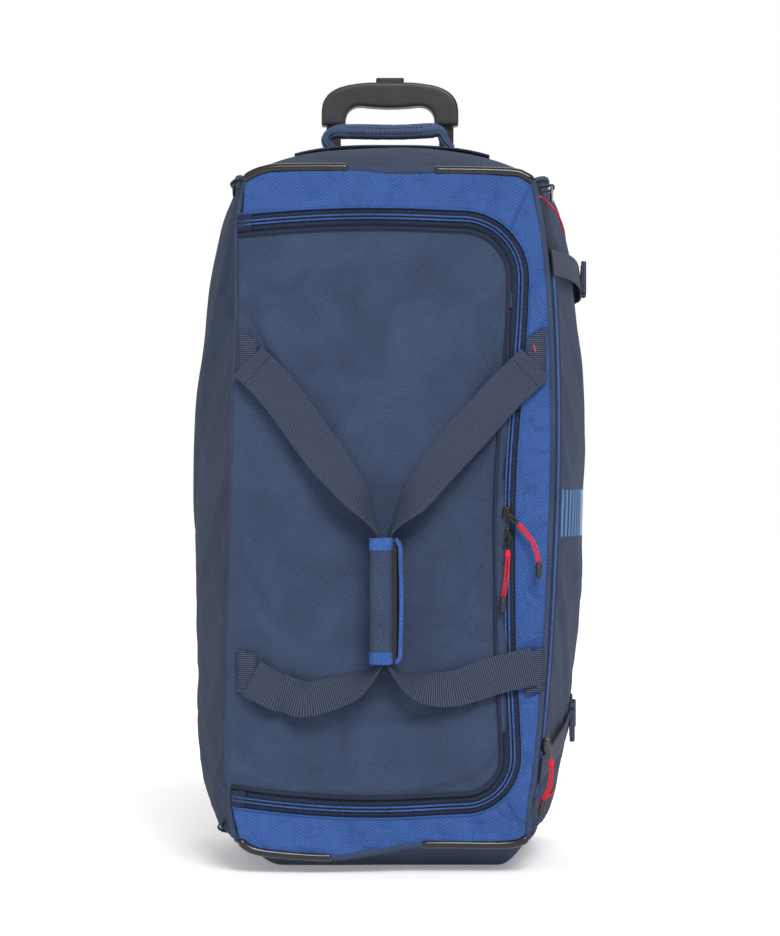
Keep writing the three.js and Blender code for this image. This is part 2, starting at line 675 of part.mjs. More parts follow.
// The middle stage's two tubes are held together by a bridge above the bezel.
function middleStage() {
  const { width, depth, wall: side } = trolley.middle;
  const tubes = Object.values(sides).map((x) => hollowTube({ ...trolley.middle, top: bezel.top + 9 }, x));
  const bridge = box(trolley.spacing - width + 4, 10, 7, 0, trolley.y, bezel.top + 5);
  const bore = roundedRectangle(width - 2 * side, depth - 2 * side, 2.2);
  const bores = Object.values(sides).map((x) => prism(bore, 0, trolley.gripTop, x, trolley.y));
  return cut(join(...tubes, bridge), ...bores);
}
add("trolley_middle_stage", middleStage(), tubeMetal);

function trolleyBezel() {
  const outline = roundedRectangle(bezel.width, bezel.depth, 5);
  const block = prism(outline, trolley.outer.top + gap, bezel.top, 0, trolley.y);
  const holes = Object.values(sides).map((x) =>
    box(trolley.middle.width + 2 * gap, trolley.middle.depth + 2 * gap, 100, x, trolley.y, bezel.top),
  );
  return cut(block, ...holes);
}
add("trolley_bezel", trolleyBezel(), blackPlastic);

const board = { width: 170, height: 590, thickness: 2.4, z: 350 };
const boardBack = trolley.y - trolley.outer.depth / 2 - 0.6;
add(
  "trolley_board",
  prism(roundedRectangle(board.width, board.height, 12), 0, board.thickness)
    .rotateX(Math.PI / 2)
    .translate(0, boardBack, board.z),
  blackPlastic,
);
const bracketHeight = 12;
const bracketZ = trolley.outer.bottom - gap - bracketHeight / 2;
const bracket = box(trolley.spacing + 40, trolley.outer.depth - 2, bracketHeight, 0, trolley.y, bracketZ);
add("trolley_foot_bracket", bracket, blackPlastic);

// The grip: a rounded loop on two legs, with an arched underside and a release button on top.
function gripOutline() {
  const half = trolley.gripWidth / 2;
  const inner = half - trolley.legWidth;
  const legBottom = trolley.inner.top + 0.6;
  const top = trolley.gripTop;
  const underside = top - trolley.gripBar;
  const outline = new THREE.Shape();
  outline.moveTo(-half, legBottom);
  outline.lineTo(-half, top - 30);
  outline.quadraticCurveTo(-half, top - 9, -half + 26, top - 3);
  outline.quadraticCurveTo(-half + 42, top, -button.width / 2 - 3, top);
  outline.lineTo(button.width / 2 + 3, top);
  outline.quadraticCurveTo(half - 42, top, half - 26, top - 3);
  outline.quadraticCurveTo(half, top - 9, half, top - 30);
  outline.lineTo(half, legBottom);
  outline.lineTo(inner, legBottom);
  outline.lineTo(inner, underside - 10);
  outline.quadraticCurveTo(inner - 3, underside + 2, inner - 16, underside + 2);
  outline.quadraticCurveTo(0, underside - 2, -inner + 16, underside + 2);
  outline.quadraticCurveTo(-inner + 3, underside + 2, -inner, underside - 10);
  outline.lineTo(-inner, legBottom);
  outline.closePath();
  return outline;
}
function trolleyGrip() {
  const edge = 3;
  const bevelled = {
    depth: trolley.gripDepth - 2 * edge,
    bevelThickness: edge,
    bevelSize: 2.4,
    bevelOffset: -2.4,
    bevelSegments: 2,
    curveSegments: 6,
  };
  const loop = new THREE.ExtrudeGeometry(gripOutline(), bevelled)
    .rotateX(Math.PI / 2)
    .translate(0, trolley.y + trolley.gripDepth / 2 - edge, 0);
  const pocket = box(button.width + 2 * gap, button.depth + 2 * gap, 24, 0, trolley.y, trolley.gripTop);
  return cut(loop, pocket);
}
add("trolley_grip", trolleyGrip(), blackPlastic);
const pocketFloor = trolley.gripTop - 12;
const buttonBottom = pocketFloor + button.travel + 2;
const buttonOutline = roundedRectangle(button.width, button.depth, 4);
const buttonTop = trolley.gripTop + button.stand;
add("trolley_button", prism(buttonOutline, buttonBottom, buttonTop, 0, trolley.y), blackPlastic);

// ---------- wheels, housings, foot and back skids ----------
function ringAround(inner, outer, width) {
  const w = width / 2;
  const r = Math.min(3, (outer - inner) / 3);
  const profile = [
    [inner, -w],
    [outer - r, -w],
    [outer, -w + r],
    [outer, w - r],
    [outer - r, w],
    [inner, w],
    [inner, -w],
  ].map(([a, b]) => new THREE.Vector2(a, b));
  return new THREE.LatheGeometry(profile, 28).rotateZ(Math.PI / 2);
}

// The housing is open at the back and the bottom, where the wheel stands out.
function wheelHousing(x) {
  const depth = housing.back - housing.front;
  const y = (housing.front + housing.back) / 2;
  const height = housing.top - housing.bottom;
  const shell = box(housing.width, depth, height, x, y, (housing.top + housing.bottom) / 2);
  const clear = wheel.radius + housing.clearance;
  const well = join(
    cylinderAlongX(clear, housing.slot, x, wheel.y, wheel.radius, 28),
    box(housing.slot, 60, 2 * clear, x, wheel.y + 30, wheel.radius - housing.clearance),
    box(housing.slot, 2 * clear, 60, x, wheel.y, wheel.radius - 30),
  );
  const axleHole = cylinderAlongX(wheel.axleRadius + gap, axleLength + 2 * gap, x, wheel.y, wheel.radius);
  return cut(shell, well, axleHole);
}

const axleLength = housing.width - 4;
const skid = { width: 14, depth: 9, bottom: 90, top: 600, x: 104 };
for (const [name, side] of [["left", -1], ["right", 1]]) {
  const x = side * wheel.x;
  const tyre = ringAround(wheel.hubRadius + gap, wheel.radius, wheel.width);
  const hub = ringAround(wheel.axleRadius + gap, wheel.hubRadius, wheel.width - 3);
  add("wheel_tyre_" + name, tyre.translate(x, wheel.y, wheel.radius), tyreRubber);
  add("wheel_hub_" + name, hub.translate(x, wheel.y, wheel.radius), blackPlastic);
  add("axle_" + name, cylinderAlongX(wheel.axleRadius, axleLength, x, wheel.y, wheel.radius), darkMetal);
  add("wheel_housing_" + name, wheelHousing(x), blackPlastic);
  const bar = roundedRectangle(skid.width, skid.depth, 3);
  const skidY = backY + skid.depth / 2 + gap;
  add("back_skid_" + name, prism(bar, skid.bottom, skid.top, side * skid.x, skidY), blackPlastic);
}

const footPad = prism(roundedRectangle(foot.width, foot.depth, 5), 0, foot.height, 0, foot.y);
add("front_foot", cut(footPad, wall("bottom", 14, 12, -gap, fabric + 20, endRange)), blackPlastic);

// The whole bag is centred on its own box, standing on z = 0.
const extent = new THREE.Box3().setFromObject(assembly);
assembly.position.set(-(extent.min.x + extent.max.x) / 2, -(extent.min.y + extent.max.y) / 2, 0);

const duffel = new THREE.Group();
duffel.name = "rolling_duffel";
duffel.add(assembly);
export default duffel;
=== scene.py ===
"""A wheeled duffel bag on a pale floor: fabric, webbing, zips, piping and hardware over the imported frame."""

import json
import math

import bmesh
import bpy
import numpy as np
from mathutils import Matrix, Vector, noise
from mathutils.bvhtree import BVHTree
from mathutils.kdtree import KDTree

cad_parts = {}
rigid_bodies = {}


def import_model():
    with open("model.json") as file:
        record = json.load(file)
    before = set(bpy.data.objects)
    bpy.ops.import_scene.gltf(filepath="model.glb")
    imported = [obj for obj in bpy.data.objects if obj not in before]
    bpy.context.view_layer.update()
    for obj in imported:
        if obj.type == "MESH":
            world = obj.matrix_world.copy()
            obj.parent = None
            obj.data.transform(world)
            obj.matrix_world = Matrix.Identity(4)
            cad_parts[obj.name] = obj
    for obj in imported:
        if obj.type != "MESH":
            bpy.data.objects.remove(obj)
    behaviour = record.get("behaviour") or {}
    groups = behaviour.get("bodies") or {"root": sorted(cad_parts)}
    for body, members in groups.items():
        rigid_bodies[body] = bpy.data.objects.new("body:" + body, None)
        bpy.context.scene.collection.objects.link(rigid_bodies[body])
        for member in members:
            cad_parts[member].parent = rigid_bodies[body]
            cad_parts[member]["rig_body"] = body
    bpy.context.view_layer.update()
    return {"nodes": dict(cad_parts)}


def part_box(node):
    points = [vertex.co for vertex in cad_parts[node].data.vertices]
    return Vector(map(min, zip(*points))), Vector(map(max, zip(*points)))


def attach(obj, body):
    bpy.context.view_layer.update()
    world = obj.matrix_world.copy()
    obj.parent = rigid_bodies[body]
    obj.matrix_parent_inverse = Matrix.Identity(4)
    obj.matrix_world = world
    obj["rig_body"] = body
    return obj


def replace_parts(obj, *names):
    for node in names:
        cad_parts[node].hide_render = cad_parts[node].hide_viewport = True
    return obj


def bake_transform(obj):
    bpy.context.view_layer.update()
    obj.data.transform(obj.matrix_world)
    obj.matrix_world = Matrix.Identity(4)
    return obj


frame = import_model()
scene = bpy.context.scene

# ---------- driving dimensions, in metres ----------
# As in the frame's own source.
FRONT_Y = -0.150
BACK_Y = 0.180
MIDDLE_Y = (FRONT_Y + BACK_Y) / 2
LID_BULGE = 0.014
FOOT_Y = -0.045  # the middle of the front foot

# The fabric and the trim.
TOP_HALF = 0.154  # half the top end's width at the fullest section
SEAM_RADIUS = 0.0034
RAIL_RADIUS = 0.0042
STRAND_RADIUS = 0.00092  # one strand of a pull's red cord
WEBBING = 0.038
GRAB_WEBBING = 0.036  # the strip under the top grab handle
SIDE_STRAP = 0.025
STRAP_THICKNESS = 0.0018
TAB_THICKNESS = 0.0014
TAB_WIDTH, TAB_HEIGHT = 0.019, 0.041
PANEL_THICKNESS = 0.003
TAPE_THICKNESS = 0.0012
SNUG = 0.0006  # the gap left round a CAD piece that stands through a panel
COIL = 0.010  # the zip's centre line, out from the lid's edge
POCKET_START = 0.045  # how far back the side pocket starts, as a share of the bag's depth

# The camera.
EYE_HEIGHT = 0.384
EYE_DISTANCE = 3.2
PICTURE_HEIGHT = 0.8855  # what the picture shows at the lid's plane, top to bottom

# The frame centres the bag on its own box, so every design position moves by this much.
foot_low, foot_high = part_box("front_foot")
SHIFT = np.array([(foot_low[0] + foot_high[0]) / 2, (foot_low[1] + foot_high[1]) / 2 - FOOT_Y, 0.0])


def mix(a, b, t):
    return a + (b - a) * t


def smooth_step(a, b, x):
    t = np.clip((x - a) / (b - a), 0.0, 1.0)
    return t * t * (3 - 2 * t)


def distances(points):
    """How far along the path each point lies."""
    steps = np.linalg.norm(np.diff(points, axis=0), axis=1)
    return np.concatenate([[0], np.cumsum(steps)])


def point_at(points, reach, distance):
    return np.array([np.interp(distance, reach, points[:, k]) for k in range(3)])


def unit_tangents(points):
    tangents = np.gradient(points, axis=0)
    return tangents / np.linalg.norm(tangents, axis=1)[:, None]


def spline(points):
    """A smooth curve through (position, value) pairs given in millimetres, read in metres."""
    p = np.array(points, float) / 1000
    p = np.vstack([p[0], p, p[-1]])
    samples = []
    for k in range(1, len(p) - 2):
        t = np.linspace(0, 1, 24)[:, None]
        slope_a = (p[k + 1] - p[k - 1]) / 2
        slope_b = (p[k + 2] - p[k]) / 2
        h = 2 * t**3 - 3 * t**2
        bend = slope_a * (t**3 - 2 * t**2 + t) + slope_b * (t**3 - t**2)
        samples.append(p[k] * (h + 1) + p[k + 1] * -h + bend)
    xs, ys = np.vstack(samples).T
    return lambda a: np.interp(a, xs, ys)


# ---------- the bag's shape: front seam, fullest section and back seam ----------
FRONT = {
    "left": spline([(31, 142), (60, 151), (200, 152), (400, 150), (525, 145), (607, 145), (658, 137)]),
    "right": spline([(34, 130), (68, 132), (98, 137), (217, 146), (394, 153), (525, 151), (607, 144),
                     (656, 135)]),
    "top": spline([(-137, 657), (-131, 661.5), (-119, 666), (-102, 668), (-38, 668), (0, 664.5), (42, 665.5),
                   (112, 664), (128, 660), (135, 655)]),
    "bottom": spline([(-142, 31), (-122, 21), (-55, 16), (-10, 22), (30, 28), (110, 28), (130, 34)]),
    "corners": {
        "left": (0.031, 0.658), "right": (0.034, 0.656),
        "top": (-0.137, 0.135), "bottom": (-0.142, 0.130),
    },
}
MIDDLE = {
    "left": spline([(21, 152), (43, 167), (93, 186), (190, 191), (394, 192), (531, 185), (617, 172),
                    (667, 152)]),
    "right": spline([(28, 144), (67, 162), (145, 177), (223, 185), (369, 191), (542, 188), (627, 175),
                     (667, 156)]),
    "top": lambda x: 0.664 + 0.037 * (1 - np.abs(x / TOP_HALF) ** 2.95),
    "bottom": lambda x: 0.004 + np.where(x < 0, 0.017, 0.024) * np.abs(x / 0.148) ** 6,
    "corners": {
        "left": (0.021, 0.667), "right": (0.028, 0.667),
        "top": (-0.152, 0.156), "bottom": (-0.152, 0.144),
    },
}
BACK = {
    "left": lambda z: 0.148 + 0 * z,
    "right": lambda z: 0.148 + 0 * z,
    "top": lambda x: 0.655 + 0.006 * (1 - (x / 0.148) ** 2),
    "bottom": lambda x: 0.022 + 0 * x,
    "corners": {
        "left": (0.022, 0.655), "right": (0.022, 0.655),
        "top": (-0.148, 0.148), "bottom": (-0.148, 0.148),
    },
}
RIGHT_LOW, RIGHT_HIGH = FRONT["corners"]["right"]
OUTWARD = {
    "left": (-1, 0, 0), "right": (1, 0, 0), "top": (0, 0, 1), "bottom": (0, 0, -1),
    "front": (0, -1, 0), "back": (0, 1, 0),
}


def loop_point(loop, side, t):
    along = mix(*loop["corners"][side], t)
    if side in ("left", "right"):
        return np.array([OUTWARD[side][0] * loop[side](along), along])
    return np.array([along, loop[side](along)])


def wall_point(side, t, s, lift=0.0):
    """A point on the soft wall: t runs along the side, s from the front seam to the back seam."""
    front, middle, back = (loop_point(loop, side, t) for loop in (FRONT, MIDDLE, BACK))
    fullness = 1 - abs(2 * s - 1) ** 2.3
    x, z = mix(front, back, s) + (middle - (front + back) / 2) * fullness
    return np.array([x, mix(FRONT_Y, BACK_Y, s), z]) + np.array(OUTWARD[side]) * lift


def front_y(x, z):
    left, right = FRONT["left"](z), FRONT["right"](z)
    across = (x + left) / (left + right)
    bottom = FRONT["bottom"](x)
    up = (z - bottom) / (FRONT["top"](x) - bottom)
    fill = lambda t: math.sqrt(max(0.0, 4 * t * (1 - t)))
    return FRONT_Y - LID_BULGE * fill(across) * fill(up)


def on_front(x, z, lift=0.0):
    return np.array([x, front_y(x, z) - lift, z])


LID_LEFT, LID_LEFT_LOW = -0.143, -0.1495  # where the lid's free edge starts at the top and at the bottom
LID_RIGHT = spline([(60, 103), (106, 106), (160, 104), (217, 101), (370, 101), (525, 112), (610, 114)])
TOP_RADIUS, BOTTOM_RADIUS = 0.046, 0.036
lid_top = lambda x: 0.612 - 0.007 * (x / 0.143) ** 2
lid_bottom = lambda x: 0.071 + 0.010 * (x / 0.143) ** 2


def lid_path(offset, straight=24, arc=14, side=44):
    """The lid's free edge from the left seam, along the top, down the right and back along the bottom."""
    top_line, bottom_line = float(lid_top(0.09)), float(lid_bottom(0.09))
    upper = float(LID_RIGHT(top_line - TOP_RADIUS))
    lower = float(LID_RIGHT(bottom_line + BOTTOM_RADIUS))
    path = []
    for i in range(straight):
        x = mix(LID_LEFT, upper - TOP_RADIUS, i / straight)
        path.append((x, mix(lid_top(x), top_line, (i / straight) ** 4) + offset))
    for i in range(arc):
        a = math.pi / 2 * (1 - i / arc)
        r = TOP_RADIUS + offset
        path.append((upper - TOP_RADIUS + r * math.cos(a), top_line - TOP_RADIUS + r * math.sin(a)))
    for i in range(side + 1):
        z = mix(top_line - TOP_RADIUS, bottom_line + BOTTOM_RADIUS, i / side)
        path.append((float(LID_RIGHT(z)) + offset, z))
    for i in range(1, arc + 1):
        a = -math.pi / 2 * i / arc
        r = BOTTOM_RADIUS + offset
        path.append((lower - BOTTOM_RADIUS + r * math.cos(a), bottom_line + BOTTOM_RADIUS + r * math.sin(a)))
    for i in range(1, straight + 1):
        x = mix(lower - BOTTOM_RADIUS, LID_LEFT_LOW, i / straight)
        path.append((x, mix(lid_bottom(x), bottom_line, (1 - i / straight) ** 4) - offset))
    return np.array(path)


# ---------- materials ----------
def set_inputs(tree, node, inputs):
    """Gives a node's inputs their values, or links them from other nodes' outputs."""
    for name, value in inputs.items():
        if isinstance(value, bpy.types.NodeSocket):
            tree.links.new(value, node.inputs[name])
        else:
            node.inputs[name].default_value = value


class Graph:
    """One material, with short names for adding and linking its nodes."""

    def __init__(self, name, use_uv):
        self.material = bpy.data.materials.new(name)
        self.material.use_nodes = True
        self.tree = self.material.node_tree
        self.place = self.node("TexCoord", {}).outputs["UV" if use_uv else "Object"]

    def surface(self, inputs):
        set_inputs(self.tree, self.tree.nodes["Principled BSDF"], inputs)
        return self.material

    def node(self, kind, inputs):
        node = self.tree.nodes.new("ShaderNode" + kind)
        set_inputs(self.tree, node, inputs)
        return node

    def noise(self, scale, detail=3.0, distortion=0.0):
        inputs = {"Scale": scale, "Detail": detail, "Distortion": distortion, "Vector": self.place}
        return self.node("TexNoise", inputs).outputs["Fac"]

    def creases(self, scale):
        """Sharp-edged soft folds: the ridges of a noise field."""
        field = self.noise(scale, 2.0, 0.6)
        return self.math("ABSOLUTE", self.math("SUBTRACT", field, 0.5), 0.0)

    def wave(self, period, direction="X", turn=0.0, distortion=0.0):
        turned = self.node("Mapping", {"Rotation": (0, 0, turn), "Vector": self.place}).outputs["Vector"]
        inputs = {"Scale": math.pi / 10 / period, "Distortion": distortion, "Detail": 1.0, "Vector": turned}
        node = self.node("TexWave", inputs)
        node.bands_direction = direction
        return node.outputs["Fac"]

    def math(self, operation, a, b):
        node = self.node("Math", {0: a, 1: b})
        node.operation = operation
        return node.outputs[0]

    def ramp(self, factor, stops):
        node = self.node("ValToRGB", {"Fac": factor})
        while len(node.color_ramp.elements) < len(stops):
            node.color_ramp.elements.new(0.5)
        for element, (position, colour) in zip(node.color_ramp.elements, stops):
            element.position = position
            element.color = (*colour, 1)
        return node.outputs["Color"]

    def blend(self, mask, a, b):
        node = self.node("Mix", {})
        node.data_type = "RGBA"
        set_inputs(self.tree, node, {"Factor": mask, 6: a, 7: (*b, 1)})
        return node.outputs[2]

    def between(self, value, low, high):
        """1 where the value lies in the range, 0 elsewhere."""
        above, below = self.math("GREATER_THAN", value, low), self.math("LESS_THAN", value, high)
        return self.math("MULTIPLY", above, below)

    def weigh(self, a, share_a, b, share_b):
        """The sum of two values, each times its own share."""
        return self.math("ADD", self.math("MULTIPLY", a, share_a), self.math("MULTIPLY", b, share_b))

    def bump(self, height, distance, strength, under=None):
        inputs = {"Distance": distance, "Strength": strength, "Height": height}
        if under:
            inputs["Normal"] = under
        return self.node("Bump", inputs).outputs["Normal"]


def shade(colour, factor):
    return tuple(min(1.0, c * factor) for c in colour)


def cloth_material(
    name, colour, thread=0.0009, ripstop=0.0, crease=0.0, contrast=0.24, rough=0.9, use_uv=True, printed=None
):
    """Woven fabric: crossed threads, mottled colour and soft creases.

    It can have a ripstop diamond, and a print, which is a function that changes the base colour.
    """
    graph = Graph(name, use_uv)
    weave = graph.math("MULTIPLY", graph.wave(thread, "X"), graph.wave(thread, "Y"))
    speckle = graph.noise(0.9 / thread, 2.0)
    mottle = graph.noise(16.0, 5.0, 0.8)
    tone = graph.weigh(speckle, 0.72, mottle, 0.28)
    if ripstop:
        lean = math.radians(58)
        diamonds = graph.math("MULTIPLY", graph.wave(ripstop, "X", lean), graph.wave(ripstop, "X", -lean))
        pattern = graph.weigh(diamonds, 0.7, graph.wave(ripstop * 0.5, "Y"), 0.3)
        tone = graph.weigh(tone, 0.8, pattern, 0.22)
    dark, light = shade(colour, 1 - contrast * 1.6), shade(colour, 1 + contrast * 1.9)
    base = graph.ramp(tone, [(0.36, dark), (0.5, colour), (0.64, light)])
    if printed:
        base = printed(graph, base)
    normal = graph.bump(weave, thread * 0.25, 0.5)
    if ripstop:
        normal = graph.bump(pattern, 0.00035, 0.9, normal)
    if crease:
        normal = graph.bump(graph.creases(13.0), crease * 4.0, 0.7, normal)
        normal = graph.bump(graph.creases(34.0), crease * 1.2, 0.7, normal)
    return graph.surface({
        "Base Color": base, "Normal": normal, "Roughness": rough,
        "Sheen Weight": 0.03, "Sheen Roughness": 0.5, "Specular IOR Level": 0.16,
    })


def webbing_material(name, colour, rib=0.0020):
    """Heavy woven tape: ribs across its width, with fine threads along it."""
    graph = Graph(name, True)
    ribs = graph.wave(rib, "Y", distortion=0.4)
    threads = graph.wave(rib * 0.55, "X")
    height = graph.weigh(ribs, 0.8, threads, 0.2)
    # The colour follows the ribs' height: painted shade in the grooves and painted highlight on the ridges,
    # with a quarter of random tone
    tone = graph.weigh(height, 0.75, graph.noise(380.0), 0.25)
    rib_painted_light_and_tone = [(0.22, shade(colour, 0.3)), (0.5, colour), (0.8, shade(colour, 2.1))]
    return graph.surface({
        "Base Color": graph.ramp(tone, rib_painted_light_and_tone), "Normal": graph.bump(height, 0.0005, 0.9), "Roughness": 0.72,
        "Sheen Weight": 0.04, "Sheen Roughness": 0.4, "Specular IOR Level": 0.25,
    })


def plastic_material(name, colour, roughness, grain=0.00004, grain_scale=900.0, metallic=0.0):
    """Moulded or coated surface with fine grain and faint rubbed patches."""
    graph = Graph(name, False)
    wear = graph.noise(38.0, 5.0)
    worn = graph.ramp(wear, [(0.3, shade(colour, 0.85)), (0.7, shade(colour, 1.25))])
    spread = graph.node("MapRange", {"To Min": roughness - 0.07, "To Max": roughness + 0.09, "Value": wear})
    fine = graph.bump(graph.noise(grain_scale, 2.0), grain, 0.6)
    return graph.surface({
        "Base Color": worn, "Roughness": spread.outputs["Result"], "Normal": fine, "Metallic": metallic,
    })


NAVY = (0.037, 0.054, 0.101)
PATCH_LOW, PATCH_HIGH = 0.3185, 0.3635
STRIPE_START = FRONT_Y + 0.0245
STRIPE_PITCH, STRIPE_WIDTH, STRIPE_COUNT = 0.0101, 0.0052, 7
PALE_WIDTH = 0.094
STRIPE_BLUE = (0.085, 0.200, 0.430)
STRIPE_PALE = (0.27, 0.36, 0.52)


def striped_patch(graph, base):
    """Printed stripes on the side pocket, then one paler block, laid out by the pocket's own y and z."""
    split = graph.node("SeparateXYZ", {"Vector": graph.place})
    along, up = split.outputs["X"], split.outputs["Y"]
    tall = graph.between(up, PATCH_LOW, PATCH_HIGH)
    end = STRIPE_START + STRIPE_COUNT * STRIPE_PITCH
    stripe = graph.math("DIVIDE", graph.math("SUBTRACT", along, STRIPE_START), STRIPE_PITCH)
    phase = graph.math("FRACT", stripe, 0.0)
    bars = graph.math("MULTIPLY", graph.math("LESS_THAN", phase, STRIPE_WIDTH / STRIPE_PITCH), tall)
    bars = graph.math("MULTIPLY", bars, graph.between(along, STRIPE_START, end))
    block = graph.math("MULTIPLY", graph.between(along, end, end + PALE_WIDTH), tall)
    return graph.blend(block, graph.blend(bars, base, STRIPE_BLUE), STRIPE_PALE)


navy = cloth_material("navy_fabric", NAVY, crease=0.0020)
# Painted shade: the same navy fabric, darkened for the left wall, which faces away from the key light
navy_side_painted_shade = cloth_material("navy_side_painted_shade_fabric", shade(NAVY, 0.8), crease=0.0020)
navy_pocket = cloth_material("navy_pocket_fabric", shade(NAVY, 0.9), crease=0.0016, printed=striped_patch)
# A brighter copy of the navy for the grab handle: partly painted light from above, partly the handle's own
# paler look
navy_grab_paler_and_painted_light = cloth_material("navy_grab_paler_and_painted_light_fabric", shade(NAVY, 1.7))
navy_end = cloth_material("navy_end_fabric", shade(NAVY, 0.84), crease=0.0012)
lining = cloth_material("lining_fabric", (0.016, 0.020, 0.032), use_uv=False)
blue = cloth_material(
    "blue_ripstop", (0.033, 0.088, 0.285), ripstop=0.0030, crease=0.0070, contrast=0.2, rough=0.6
)
blue_tape = cloth_material("blue_tape", (0.038, 0.095, 0.30), thread=0.0011, use_uv=False)
tape = cloth_material("zip_tape", (0.018, 0.026, 0.052), thread=0.0008)
webbing = webbing_material("navy_webbing", (0.031, 0.041, 0.074))
red = cloth_material("red_cord", (0.60, 0.020, 0.036), thread=0.0012, contrast=0.2, use_uv=False)
thread_navy = cloth_material("navy_thread", (0.034, 0.045, 0.080), use_uv=False)
thread_red = cloth_material("red_thread", (0.70, 0.030, 0.060), use_uv=False)
black = plastic_material("black_plastic", (0.020, 0.0205, 0.022), 0.46)
pebbled = plastic_material("pebbled_plastic", (0.016, 0.016, 0.018), 0.5, grain=0.0003, grain_scale=700.0)
rail = plastic_material("gloss_rail", (0.010, 0.010, 0.012), 0.2, grain=0.00001)
metal = plastic_material("dark_metal", (0.33, 0.34, 0.36), 0.3, metallic=1.0)
slider_black = plastic_material("slider_black", (0.006, 0.006, 0.007), 0.34)
gunmetal = plastic_material("gunmetal", (0.10, 0.10, 0.11), 0.34, metallic=0.9)
tube_paint = plastic_material("tube_paint", (0.022, 0.023, 0.026), 0.36, metallic=0.3)
rubber = plastic_material("wheel_rubber", (0.013, 0.013, 0.014), 0.8, grain=0.0002, grain_scale=400.0)


# ---------- mesh helpers ----------
def add_object(name, data):
    obj = bpy.data.objects.new(name, data)
    scene.collection.objects.link(obj)
    return obj


def add_mesh(name, vertices, faces):
    mesh = bpy.data.meshes.new(name)
    mesh.from_pydata(vertices, [], faces)
    return add_object(name, mesh)


def make_object(name, vertices, faces, material, uvs=None, body="bag", slot=None):
    obj = add_mesh(name, (np.array(vertices) + SHIFT).tolist(), faces)
    mesh = obj.data
    if uvs is not None:
        layer = mesh.uv_layers.new(name="UVMap")
        for loop in mesh.loops:
            layer.data[loop.index].uv = uvs[loop.vertex_index]
    mesh.materials.append(material)
    mesh.polygons.foreach_set("use_smooth", [True] * len(mesh.polygons))
    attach(obj, body)
    return obj


def grid_faces(rows, columns):
    return [
        (i * columns + j, i * columns + j + 1, (i + 1) * columns + j + 1, (i + 1) * columns + j)
        for i in range(rows - 1)
        for j in range(columns - 1)
    ]


def sheet_object(name, points, material, plane, thickness, **options):
    """A fabric panel: a grid of points facing out of the bag on its plane, with real thickness behind it."""
    points = np.array(points)
    rows, columns = points.shape[:2]
    flat = points.reshape(-1, 3)
    outward = Vector(OUTWARD[plane])
    uvs = flat[:, [axis for axis in range(3) if not outward[axis]]]
    obj = make_object(name, flat, grid_faces(rows, columns), material, uvs, **options)
    face_outward(obj, outward)
    thicken(obj, thickness, -1)
    return obj


def thicken(obj, thickness, offset, bevel=0.0):
    """Gives a sheet its thickness, behind it with offset -1 and both ways with 0."""
    solidify = obj.modifiers.new("thickness", "SOLIDIFY")
    solidify.thickness = thickness
    solidify.offset = offset
    if bevel:
        round_edges(obj, bevel, 2)


def round_edges(obj, width, segments):
    modifier = obj.modifiers.new("edge", "BEVEL")
    modifier.width = width
    modifier.segments = segments
    return modifier


def face_outward(obj, outward):
    total = Vector()
    for polygon in obj.data.polygons:
        total += polygon.normal * polygon.area
    if total.dot(outward) < 0:
        obj.data.flip_normals()


def tube_faces(count, sides):
    faces = []
    for k in range(count - 1):
        for j in range(sides):
            a, b = k * sides + j, k * sides + (j + 1) % sides
            faces.append((a, b, b + sides, a + sides))
    last = (count - 1) * sides
    faces.append(tuple(range(sides - 1, -1, -1)))
    faces.append(tuple(range(last, last + sides)))
    return faces


def tube_object(name, points, radius, material, sides=10, body="bag", slot=None):
    """A round tube along points. radius may be one number or one for each point."""
    points = np.array(points, float)
    radii = np.broadcast_to(radius, len(points))
    tangents = unit_tangents(points)
    side = np.cross(tangents[0], (0.0, 1.0, 0.0) if abs(tangents[0][1]) < 0.9 else (1.0, 0.0, 0.0))
    reach = distances(points)
    vertices, uvs = [], []
    for k, (point, tangent) in enumerate(zip(points, tangents)):
        side = side - tangent * side.dot(tangent)
        side /= np.linalg.norm(side)
        up = np.cross(tangent, side)
        for j in range(sides):
            angle = 2 * math.pi * j / sides
            vertices.append(point + (side * math.cos(angle) + up * math.sin(angle)) * radii[k])
            uvs.append((angle * radii[k], reach[k]))
    return make_object(name, vertices, tube_faces(len(points), sides), material, uvs, body, slot)


def smooth_path(points, count):
    """An even, smooth path through points given in metres."""
    p = np.array(points, float)
    p = np.vstack([2 * p[0] - p[1], p, 2 * p[-1] - p[-2]])
    out = []
    for k in range(1, len(p) - 2):
        t = np.linspace(0, 1, 30, endpoint=False)[:, None]
        a, b, c, d = p[k - 1 : k + 3]
        square, cube = 2 * a - 5 * b + 4 * c - d, 3 * b - a - 3 * c + d
        out.append(0.5 * (2 * b + (c - a) * t + square * t**2 + cube * t**3))
    dense = np.vstack([*out, p[-2][None]])
    reach = distances(dense)
    wanted = np.linspace(0, reach[-1], count)
    return np.stack([np.interp(wanted, reach, dense[:, k]) for k in range(dense.shape[1])], axis=1)


